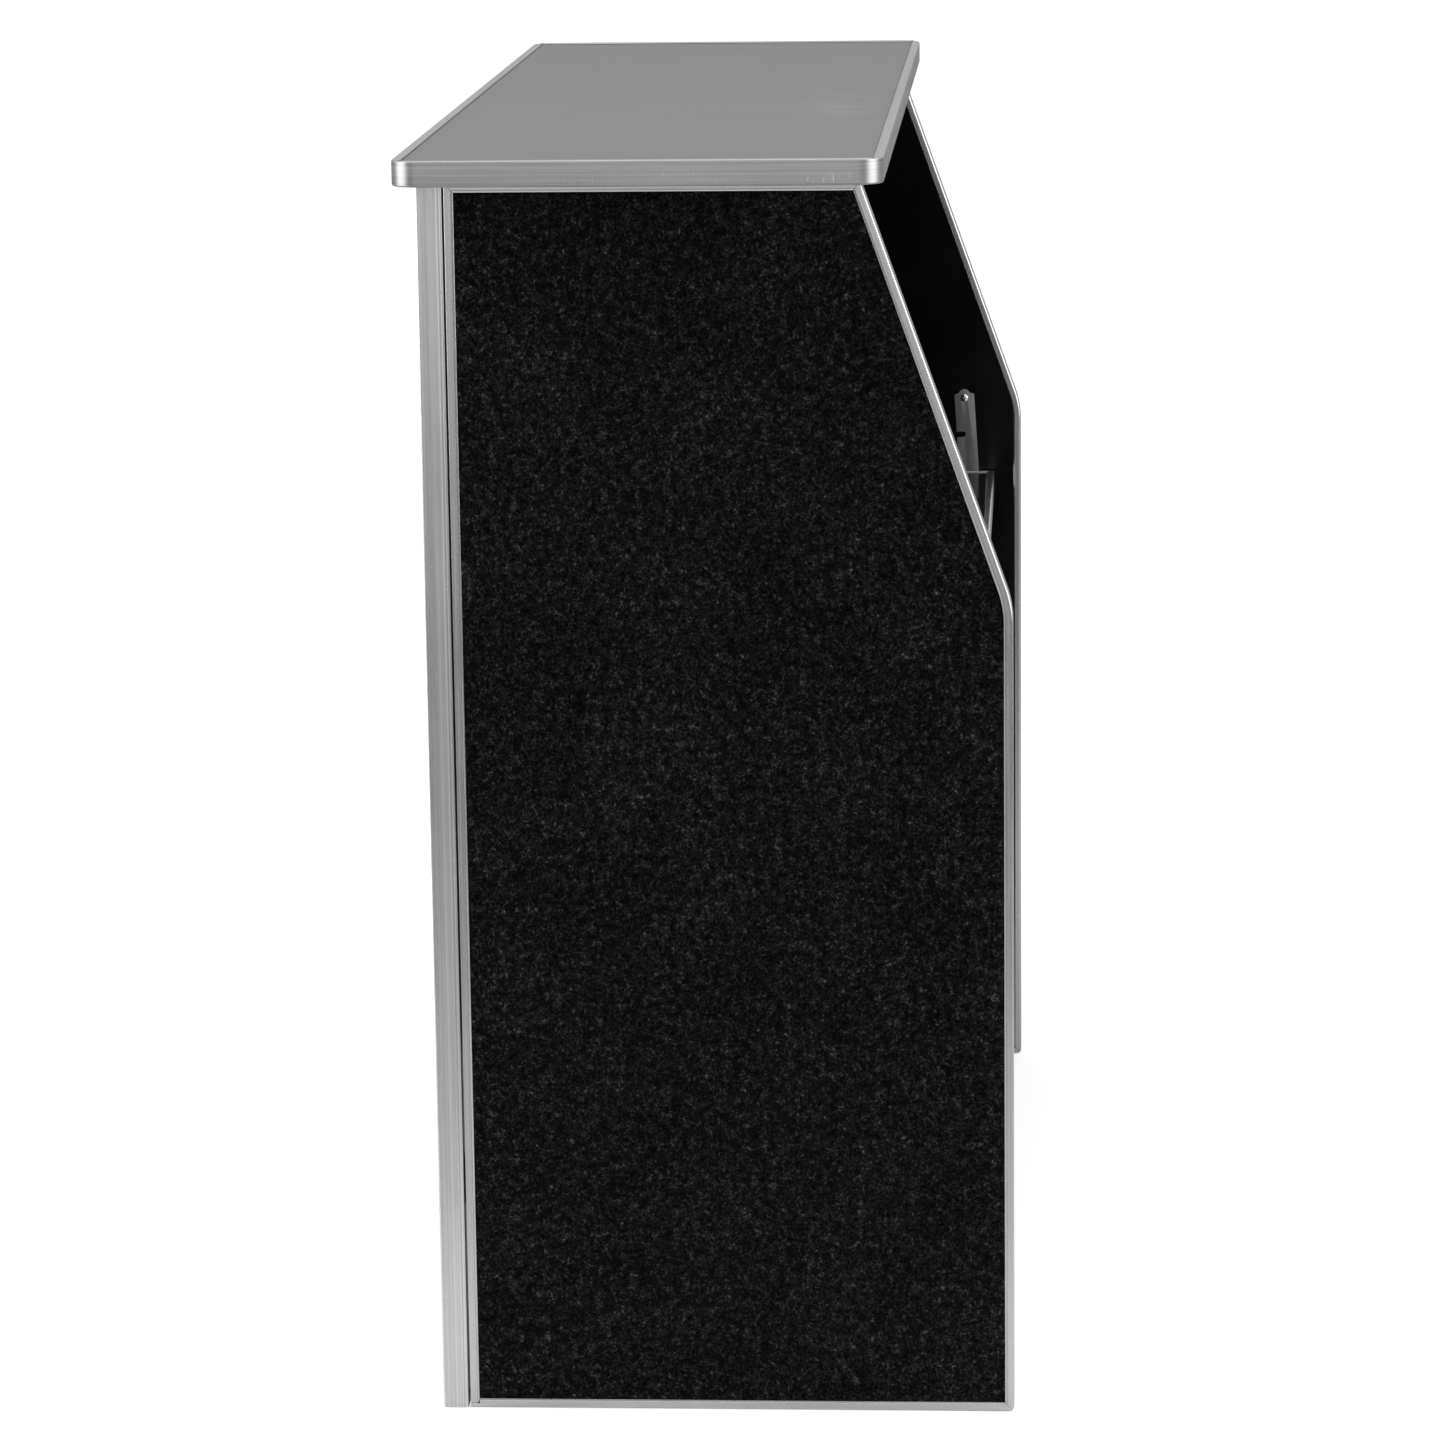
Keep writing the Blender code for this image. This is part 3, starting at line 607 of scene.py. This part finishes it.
def make_black_gloss():
    """Black gloss laminate with a slight orange peel, smears and a little dust."""
    look = Look("black_gloss_look", grey(0.0015), 0.16, specular=0.25)
    point = look.object_point()
    smears = look.noise(point, 14.0, 4.0, 0.6)
    peel = look.noise(point, 700.0, 1.0, 0.5)
    dust = look.noise(point, 2600.0, 1.0, 0.5)
    colour = look.mix(look.span(dust, 0.74, 0.80), grey(0.0014), grey(0.012))
    return look.finish(
        colour, look.span(smears, 0.35, 0.65, 0.13, 0.19), look.bump(peel, 0.00001)
    )


def make_steel():
    """Dull grey sheet steel."""
    look = Look("grey_steel_look", grey(0.16), 0.42, metallic=0.55)
    point = look.object_point()
    grain = look.noise(point, 1400.0, 2.0, 0.6)
    clouds = look.noise(point, 60.0, 3.0, 0.6)
    colour = look.mix(look.span(clouds, 0.3, 0.7), grey(0.17), grey(0.235))
    return look.finish(colour, look.span(grain, 0.3, 0.7, 0.36, 0.50), look.bump(grain, 0.00002))


def make_screw_metal():
    """Bright plated steel with uneven wear."""
    look = Look("bright_screw_look", grey(0.75), 0.2, metallic=1.0)
    point = look.object_point()
    wear = look.noise(point, 900.0, 3.0, 0.6)
    colour = look.mix(look.span(wear, 0.35, 0.65), grey(0.6), grey(0.82))
    return look.finish(colour, look.span(wear, 0.3, 0.7, 0.14, 0.30), look.bump(wear, 0.00001))


def make_board_core():
    """Raw particle board: chips of several browns."""
    look = Look("board_core_look", (0.42, 0.30, 0.19), 0.85)
    point = look.object_point()
    chips = look.node("TexVoronoi", Vector=look.scaled(point, (260, 260, 700)), Scale=1.0)
    shade = look.noise(point, 500.0, 3.0, 0.6)
    tint = look.node("SeparateColor", Color=chips.outputs["Color"]).outputs[0]
    colour = look.mix(tint, (0.30, 0.20, 0.11), (0.52, 0.39, 0.25))
    colour = look.mix(look.span(shade, 0.3, 0.7, 0.0, 0.5), colour, (0.36, 0.25, 0.15))
    normal = look.bump(chips.outputs["Distance"], 0.0002)
    return look.finish(colour, look.span(shade, 0.3, 0.7, 0.78, 0.95), normal)


# The lines seen across the post's outer face: (place along Y, half width, tone, strength). The pale
# lines 0.7 mm and 20 mm in are painted highlights of the rounded edges; the others are die lines.
POST_DIE_LINES_AND_HIGHLIGHTS = (
    (POST_LOW.y + 0.0007, 0.0007, 0.96, 0.7),
    (POST_LOW.y + 0.0072, 0.0010, 0.48, 0.5),
    (POST_LOW.y + 0.0122, 0.0014, 0.82, 0.4),
    (POST_LOW.y + 0.0172, 0.0008, 0.95, 0.7),
    (POST_LOW.y + 0.0186, 0.0006, 0.42, 0.6),
    (POST_LOW.y + 0.0200, 0.0007, 0.95, 0.8),
)
POST_METAL = make_aluminium("post_aluminium_look", 0.64, 0.29, 0.00006, 0.22, POST_DIE_LINES_AND_HIGHLIGHTS)
TRIM_METAL = make_aluminium("trim_aluminium_look", 0.61, 0.23, 0.00002)
BAND_METAL = make_aluminium("band_aluminium_look", 0.43, 0.36, 0.00002, 0.26)
SPECKLED = make_speckled()
GREY_LAMINATE = make_grey_laminate()
BLACK_GLOSS = make_black_gloss()
STEEL = make_steel()
SCREW_METAL = make_screw_metal()
BOARD_CORE = make_board_core()
BY_SLOT = {
    "aluminium_trim": TRIM_METAL,
    "speckled_laminate": SPECKLED,
    "black_laminate": BLACK_GLOSS,
    "grey_laminate": GREY_LAMINATE,
    "board_core": BOARD_CORE,
    "grey_steel": STEEL,
    "bright_screw": SCREW_METAL,
}

for node, obj in frame["nodes"].items():
    obj.data.materials.clear()
    obj.data.materials.append(BY_SLOT[SLOT[node]])


# The trims.

SECTION = trim_section(EDGE_RADIUS)
POST_SECTION = trim_section(POST_EDGE_RADIUS)
CRISP_SECTION = trim_section(CRISP_EDGE_RADIUS)


def post_foot(x, inward):
    """The post's lower end, with its two corners rounded."""

    def ring(across, depth):
        over = max(0.0, abs(across) - (EDGE / 2 - POST_FOOT))
        return x + depth * inward, POST_FOOT - math.sqrt(POST_FOOT**2 - over**2)

    return ring


def make_front_trims():
    for side, sign in SIDES:
        node = "front_post_" + side
        x = sign * PANEL_HALF
        rings = [post_foot(x, -sign)]
        rings += straight((x, POST_FOOT * 2), (x, PANEL_TOP), (-sign, 0))
        stand_for(loft(node + "_look", POST_SECTION, rings, front_place, POST_METAL), node)
    rail = PANEL_HALF - FLANGE - GAP
    for name, z, inward in (("bottom", 0.0, 1), ("top", PANEL_TOP, -1)):
        node = "front_" + name + "_rail"
        rings = straight((-rail, z), (rail, z), (0, inward))
        stand_for(loft(node + "_look", SECTION, rings, front_place, TRIM_METAL), node)


def bottom_front_rings():
    """The bottom trim's front end, with its flanges cut down to pass under the front trim."""
    corner = SIDE_FRONT + FLANGE + GAP
    low = FRONT_END - GAP

    def full(across, depth):
        return corner, depth

    def cut_back(across, depth):
        return corner, min(depth, low)

    def tip(across, depth):
        return SIDE_FRONT + BOTTOM_TIP_INSET, min(max(depth, BOTTOM_TIP_INSET), low)

    def nose(across, depth):
        return SIDE_FRONT + BOTTOM_NOSE, min(depth, low)

    return [full, cut_back, nose, tip]


def drill_for_pegs(trim, side):
    """The holes in a side panel's top trim that the top's pegs go down through."""
    bm = bmesh.new()
    for row in ("front", "rear"):
        low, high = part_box(f"top_peg_{row}_{side}")
        middle = (low + high) / 2
        radius = (high.x - low.x) / 2 + PEG_CLEARANCE
        bmesh.ops.create_cone(
            bm,
            cap_ends=True,
            segments=PEG_HOLE_SIDES,
            radius1=radius,
            radius2=radius,
            depth=2 * (WEB + PEG_HOLE_MARGIN),
            matrix=Matrix.Translation((middle.x, middle.y, PANEL_TOP - WEB / 2)),
        )
    mesh = carved(trim, plain_object("peg_holes", bm))
    mesh.set_sharp_from_angle(angle=math.radians(SHARP))
    trim.data = mesh


def make_side_trims(side, sign):
    place = side_place(sign)
    outline = side_outline()
    last = len(outline) - 1
    prefix = "side_" + side + "_"
    runs = {
        "bottom_trim": foot_rings(True) + bottom_front_rings(),
        "rear_trim": foot_rings(False) + run(outline, 1, last - 1)[1:],
        "top_trim": run(outline, last - 1, last),
        "front_trim": front_end_rings() + [run(outline, last, 0)[0]],
    }
    for tail, rings in runs.items():
        node = prefix + tail
        section = CRISP_SECTION if tail == "front_trim" else SECTION
        trim = loft(node + "_look", section, rings, place, TRIM_METAL)
        if tail == "top_trim":
            drill_for_pegs(trim, side)
        stand_for(trim, node)


def make_shelf_trims():
    front = [(-SHELF_HALF, SHELF_FRONT), (SHELF_HALF, SHELF_FRONT)]
    rear = [(SHELF_HALF, SHELF_REAR), (-SHELF_HALF, SHELF_REAR)]
    outline = front + rear
    for index, edge in enumerate(("front", "right", "rear", "left")):
        node = "shelf_" + edge + "_trim"
        rings = run(outline, index, (index + 1) % 4)
        stand_for(loft(node + "_look", SECTION, rings, shelf_place, TRIM_METAL), node)


# The top's band.


def band_line(inset, square):
    """Points round the top: (x, y) on rounded corners, or on square ones with the same count."""
    half = BAND_HIGH.x - inset
    low, high = BAND_LOW.y + inset, BAND_HIGH.y - inset
    radius = BAND_RADIUS - inset
    points = []
    corners = ((1, 1), (-1, 1), (-1, -1), (1, -1))
    for turn, (side_x, side_y) in enumerate(corners):
        centre_x = side_x * (half - radius)
        centre_y = (high - radius) if side_y > 0 else (low + radius)
        for x, y in arc((0, 0), 1.0, turn * QUARTER, (turn + 1) * QUARTER, BAND_STEPS):
            stretch = radius / max(abs(x), abs(y)) if square else radius
            points.append((centre_x + x * stretch, centre_y + y * stretch))
    return with_supports(points)


def with_supports(points):
    """Adds a point on each straight run close to the corners, so the long faces shade flat."""
    spread = []
    per_corner = BAND_STEPS + 1
    for first in range(0, len(points), per_corner):
        spread += points[first : first + per_corner]
        here = points[first + per_corner - 1]
        after = points[(first + per_corner) % len(points)]
        for start, end in ((here, after), (after, here)):
            share = SUPPORT / math.dist(start, end)
            spread.append(tuple(a + (b - a) * share for a, b in zip(start, end)))
    return spread


def band_section():
    """The band's section as (inset, z, square), and the first row that is on its outer face.

    Square rows have square corners, where the flanges lie over the laminates.
    """
    bottom, top = BAND_LOW.z, BAND_HIGH.z
    radius = BAND_EDGE_RADIUS
    lower, upper = [], []
    for step in range(EDGE_STEPS + 1):
        angle = QUARTER * step / EDGE_STEPS
        flat, steep = radius * (1 - math.cos(angle)), radius * (1 - math.sin(angle))
        lower.append((steep, bottom + flat, False))
        upper.append((flat, top - steep, False))
    face = [(0.0, bottom + radius + SUPPORT, False), (0.0, top - radius - SUPPORT, False)]
    middle_inset, middle_drop = BAND_CHAMFER_MIDDLE
    flanges = [
        (radius + SUPPORT, top, False),
        (FLANGE - BAND_CHAMFER - SUPPORT, top, True),
        (FLANGE - BAND_CHAMFER, top, True),
        (FLANGE - middle_inset, top - middle_drop, True),
        (FLANGE, top - BAND_CHAMFER_DROP, True),
        (FLANGE, top - LIP, True),
        (WEB, top - LIP, False),
        (WEB, bottom + LIP, False),
        (FLANGE, bottom + LIP, True),
        (FLANGE, bottom + BAND_LOWER_CHAMFER, True),
        (FLANGE - BAND_LOWER_CHAMFER, bottom, True),
    ]
    return lower + face + upper + flanges, len(lower) - 1


def make_band():
    """The trim bent round the top's edge; its UV map runs round the top, then round the section."""
    section, outer_row = band_section()
    bm = bmesh.new()
    uv = bm.loops.layers.uv.new("grain")
    lines = [band_line(inset, square) for inset, _, square in section]
    along = distances(lines[outer_row])
    girth = distances([(inset, z) for inset, z, _ in section])
    rows = []
    for line, (_, z, _) in zip(lines, section):
        rows.append([bm.verts.new((x, y, z)) for x, y in line])
    count = len(lines[outer_row])
    for row, lower in enumerate(rows):
        upper = rows[(row + 1) % len(rows)]
        for column in range(count):
            after = (column + 1) % count
            face = bm.faces.new((lower[column], lower[after], upper[after], upper[column]))
            corners = ((row, column), (row, column + 1), (row + 1, column + 1), (row + 1, column))
            for loop, (r, c) in zip(face.loops, corners):
                loop[uv].uv = (along[c], girth[r])
    stand_for(finish_mesh("top_edge_band_look", bm, BAND_METAL), "top_edge_band")


# Brackets, straps and fasteners.


def soften(node, width):
    """Stands in for a steel node with its own shape, its hard edges eased."""
    bm = bmesh.new()
    bm.from_mesh(frame["nodes"][node].data)
    bmesh.ops.remove_doubles(bm, verts=bm.verts, dist=WELD)
    limit = math.radians(SAME_PLANE)
    bmesh.ops.dissolve_limit(bm, angle_limit=limit, verts=bm.verts, edges=bm.edges)
    hard = []
    for edge in bm.edges:
        if len(edge.link_faces) == 2 and edge.calc_face_angle(0) > math.radians(HARD_EDGE):
            hard.append(edge)
    bmesh.ops.bevel(
        bm,
        geom=hard,
        offset=width,
        segments=EASE_STEPS,
        profile=0.5,
        affect="EDGES",
        clamp_overlap=True,
    )
    stand_for(finish_mesh(node + "_look", bm, STEEL, SHARP_SMALL), node)


def spin(bm, profile, sides):
    """Turns (radius, height) pairs about Z; both ends sit on the axis."""
    rings = []
    for radius, height in profile:
        if radius == 0:
            rings.append([bm.verts.new((0, 0, height))])
            continue
        ring = []
        for side in range(sides):
            angle = 2 * math.pi * side / sides
            ring.append(bm.verts.new((radius * math.cos(angle), radius * math.sin(angle), height)))
        rings.append(ring)
    for lower, upper in zip(rings, rings[1:]):
        for side in range(sides):
            after = (side + 1) % sides
            corners = [lower[side % len(lower)], lower[after % len(lower)]]
            corners += [upper[after % len(upper)], upper[side % len(upper)]]
            bm.faces.new(list(dict.fromkeys(corners)))


def cross_cutter():
    """A cross whose wings narrow with depth."""
    bm = bmesh.new()
    for turned in (False, True):
        layers = []
        for height, reach in RECESS_LAYERS:
            layer = []
            for side_x, side_y in ((-1, -1), (1, -1), (1, 1), (-1, 1)):
                x, y = side_x * reach, side_y * RECESS_WIDTH / 2
                layer.append(bm.verts.new((y, -x, height) if turned else (x, y, height)))
            layers.append(layer)
        top, bottom = layers
        bm.faces.new(top)
        bm.faces.new(list(reversed(bottom)))
        for index in range(4):
            after = (index + 1) % 4
            bm.faces.new((top[index], bottom[index], bottom[after], top[after]))
    bmesh.ops.recalc_face_normals(bm, faces=bm.faces)
    return bm


def screw_mesh(length, shoulder=0.0):
    """A pan-head screw with a cross recess: head above z = 0, shank below.

    A shoulder is a thicker plain part below the head, as long as the number says.
    """
    profile = [(0.0, HEAD_HEIGHT)]
    for step in range(1, DOME_STEPS + 1):
        angle = QUARTER * step / DOME_STEPS
        height = HEAD_RIM + (HEAD_HEIGHT - HEAD_RIM) * math.cos(angle)
        profile.append((HEAD_RADIUS * math.sin(angle) ** DOME_FULLNESS, height))
    profile += [(HEAD_RADIUS, HEAD_ROUNDING), (HEAD_RADIUS - HEAD_ROUNDING, 0.0)]
    if shoulder:
        profile += [(PIVOT_RADIUS, 0.0), (PIVOT_RADIUS, -shoulder)]
    profile.append((SHANK_RADIUS, -shoulder))
    z = -shoulder - THREAD_PITCH / 2
    while z - THREAD_PITCH > POINT_LENGTH - length:
        profile += [(SHANK_RADIUS, z), (SHANK_RADIUS - THREAD_DEPTH, z - THREAD_PITCH / 2)]
        z -= THREAD_PITCH
    profile += [(SHANK_RADIUS, POINT_LENGTH - length), (0.0, -length)]
    bm = bmesh.new()
    spin(bm, profile, HEAD_SIDES)
    bmesh.ops.recalc_face_normals(bm, faces=bm.faces)
    screw = plain_object("screw_blank", bm)
    cutter = plain_object("screw_cutter", cross_cutter())
    made = carved(screw, cutter)
    discard(screw)
    return made


def place_screw(node, source, facing, turn):
    """Puts the screw in the node's box, its head towards facing, turned by some degrees."""
    low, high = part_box(node)
    facing = Vector(facing)
    half = abs((high - low).dot(facing)) / 2
    seat = (low + high) / 2 + facing * (half - HEAD_HEIGHT)
    matrix = Matrix.Translation(seat) @ facing.to_track_quat("Z", "Y").to_matrix().to_4x4()
    bm = bmesh.new()
    bm.from_mesh(source)
    bm.transform(matrix @ Matrix.Rotation(math.radians(turn), 4, "Z"))
    stand_for(finish_mesh(node + "_look", bm, SCREW_METAL, SHARP_SMALL), node)


def make_screws():
    """All the screws, their recesses turned unevenly, as screws driven by hand are."""
    plain = screw_mesh(SHANK_LENGTH)
    low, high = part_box("strap_screw_right")
    shouldered = screw_mesh(high.x - low.x - HEAD_HEIGHT, PIVOT_SHOULDER)
    for side, sign in SIDES:
        for row in ("lower", "upper"):
            place_screw(f"corner_side_screw_{row}_{side}", plain, (-sign, 0, 0), 20 + 35 * sign)
            place_screw(f"corner_front_screw_{row}_{side}", plain, (0, 1, 0), 61 - 17 * sign)
        place_screw("strap_screw_" + side, shouldered, (-sign, 0, 0), 12)
    for turn, place in ((8, "left"), (49, "middle"), (77, "right")):
        place_screw("ledge_screw_" + place, plain, (0, 1, 0), turn)


make_front_trims()
for side, sign in SIDES:
    make_side_trims(side, sign)
    soften("shelf_strap_" + side, THIN_EASE)
    soften("strap_spacer_" + side, EASE)
    soften("shelf_stud_" + side, THIN_EASE)
    for row in ("lower", "upper"):
        soften(f"corner_angle_{row}_{side}", EASE)
    for row in ("front", "rear"):
        soften(f"top_peg_{row}_{side}", EASE)
soften("shelf_ledge", EASE)
make_shelf_trims()
make_band()
make_screws()


# Floor, light and camera.

FLOOR_HALF = 60.0
FLOOR_DROP = 0.0005
# The floor's tone by distance in metres, as the metal reflects it.
FLOOR_TONES = (
    (0.9, 0.84),
    (1.5, 0.48),
    (2.0, 0.48),
    (3.1, 0.13),
    (5.5, 0.35),
    (8.0, 1.0),
    (10.5, 0.08),
    (14.0, 0.08),
)
FLOOR_REACH = FLOOR_TONES[-1][0]
# The floor behind the part, as the metal reflects it, and where it gives way to the tones.
FLOOR_BEHIND = 0.60
FLOOR_BLEND = (-1.2, 0.4)
# The floor's glow for the camera alone: (near, far, glow near, glow far).
FLOOR_GLOW = (0.7, 5.0, 0.56, 0.78)
# The room's light behind the part and on the camera's side, blended over this half width.
ROOM_BEHIND = 0.66
ROOM_AHEAD = 0.24
ROOM_BLEND = 0.6
# Name, place, target, width, height, watts.
SOFTBOXES = (
    ("left_box", (1.2, -2.8, 1.6), (0.5, 0, 0.9), 2.2, 2.4, 52),
    ("right_box", (1.2, 2.8, 1.6), (0.5, 0, 0.9), 2.2, 2.4, 52),
    ("top_box", (0.0, 0.0, 3.6), (0, 0, 0), 4.4, 4.4, 66),
    ("far_box", (8.5, 0.0, 2.6), (0, 0, 1.6), 9.0, 4.4, 125),
)
# The camera fitted to the photo's straight edges.
CAMERA_PLACE = (5.0585, 0.2901, 1.5276)
CAMERA_RIGHT = (-0.0600, 0.9981, -0.0123)
CAMERA_BACK = (0.9778, 0.0613, 0.2005)
CAMERA_LENS = 132.63
CAMERA_SENSOR = 36.0
CAMERA_CLIP_END = 200.0


def make_floor():
    """A plain floor, white to the camera and darker where the part reflects it."""
    bm = bmesh.new()
    corners = ((-1, -1), (1, -1), (1, 1), (-1, 1))
    bm.faces.new([bm.verts.new((x * FLOOR_HALF, y * FLOOR_HALF, -FLOOR_DROP)) for x, y in corners])
    look = Look("floor_look", grey(0.86), 0.9, specular=0.1)
    point = look.object_point()
    speck = look.noise(point, 120.0, 3.0, 0.6)
    reach = look.node("VectorMath", {"operation": "LENGTH"})
    look.set(reach, 0, point)
    shade = look.node("ValToRGB", Fac=look.span(reach.outputs["Value"], 0.0, FLOOR_REACH))
    stops = shade.color_ramp.elements
    for stop, (distance, value) in zip(stops, (FLOOR_TONES[0], FLOOR_TONES[-1])):
        stop.position, stop.color = distance / FLOOR_REACH, (*grey(value), 1)
    for distance, value in FLOOR_TONES[1:-1]:
        stops.new(distance / FLOOR_REACH).color = (*grey(value), 1)
    ahead = look.node("SeparateXYZ", Vector=point).outputs["X"]
    tones = shade.outputs["Color"]
    reflected = look.mix(look.span(ahead, *FLOOR_BLEND), grey(FLOOR_BEHIND), tones)
    seen = look.node("LightPath").outputs["Is Camera Ray"]
    plain = look.mix(look.span(speck, 0.3, 0.7), grey(0.68), grey(0.72))
    look.set(look.shader, "Base Color", look.mix(seen, reflected, plain))
    look.set(look.shader, "Emission Color", (*grey(1), 1))
    glow = look.span(reach.outputs["Value"], *FLOOR_GLOW)
    look.set(look.shader, "Emission Strength", look.times(seen, glow))
    finish_mesh("floor", bm, look.material)


def make_world():
    """A white background to the camera, and to the part a room dimmer on the camera's side."""
    world = bpy.data.worlds.new("studio")
    bpy.context.scene.world = world
    world.use_nodes = True
    tree = world.node_tree
    tree.nodes.clear()
    output = tree.nodes.new("ShaderNodeOutputWorld")
    mix = tree.nodes.new("ShaderNodeMixShader")
    seen = tree.nodes.new("ShaderNodeLightPath")
    room = tree.nodes.new("ShaderNodeBackground")
    white = tree.nodes.new("ShaderNodeBackground")
    direction = tree.nodes.new("ShaderNodeTexCoord")
    split = tree.nodes.new("ShaderNodeSeparateXYZ")
    dim = tree.nodes.new("ShaderNodeMapRange")
    tree.links.new(direction.outputs["Generated"], split.inputs[0])
    tree.links.new(split.outputs["X"], dim.inputs["Value"])
    dim.inputs["From Min"].default_value = -ROOM_BLEND
    dim.inputs["From Max"].default_value = ROOM_BLEND
    dim.inputs["To Min"].default_value = ROOM_BEHIND
    dim.inputs["To Max"].default_value = ROOM_AHEAD
    tree.links.new(dim.outputs["Result"], room.inputs["Strength"])
    room.inputs["Color"].default_value = (1, 1, 1, 1)
    white.inputs["Color"].default_value = (1, 1, 1, 1)
    tree.links.new(seen.outputs["Is Camera Ray"], mix.inputs[0])
    tree.links.new(room.outputs[0], mix.inputs[1])
    tree.links.new(white.outputs[0], mix.inputs[2])
    tree.links.new(mix.outputs[0], output.inputs[0])


def add_softbox(name, place, target, width, height, power):
    light = bpy.data.lights.new(name, "AREA")
    light.shape = "RECTANGLE"
    light.size = width
    light.size_y = height
    light.energy = power
    obj = bpy.data.objects.new(name, light)
    obj.location = place
    obj.rotation_euler = (Vector(target) - Vector(place)).to_track_quat("-Z", "Y").to_euler()
    bpy.context.scene.collection.objects.link(obj)


def make_camera():
    data = bpy.data.cameras.new("photo_view")
    data.lens = CAMERA_LENS
    data.sensor_width = CAMERA_SENSOR
    data.clip_end = CAMERA_CLIP_END
    camera = bpy.data.objects.new("photo_view", data)
    right = Vector(CAMERA_RIGHT).normalized()
    back = Vector(CAMERA_BACK).normalized()
    up = back.cross(right).normalized()
    right = up.cross(back)
    turn = Matrix((right, up, back)).transposed().to_4x4()
    camera.matrix_world = Matrix.Translation(CAMERA_PLACE) @ turn
    bpy.context.scene.collection.objects.link(camera)
    bpy.context.scene.camera = camera


make_floor()
make_world()
for softbox in SOFTBOXES:
    add_softbox(*softbox)
make_camera()
bpy.context.scene.view_settings.view_transform = "Standard"
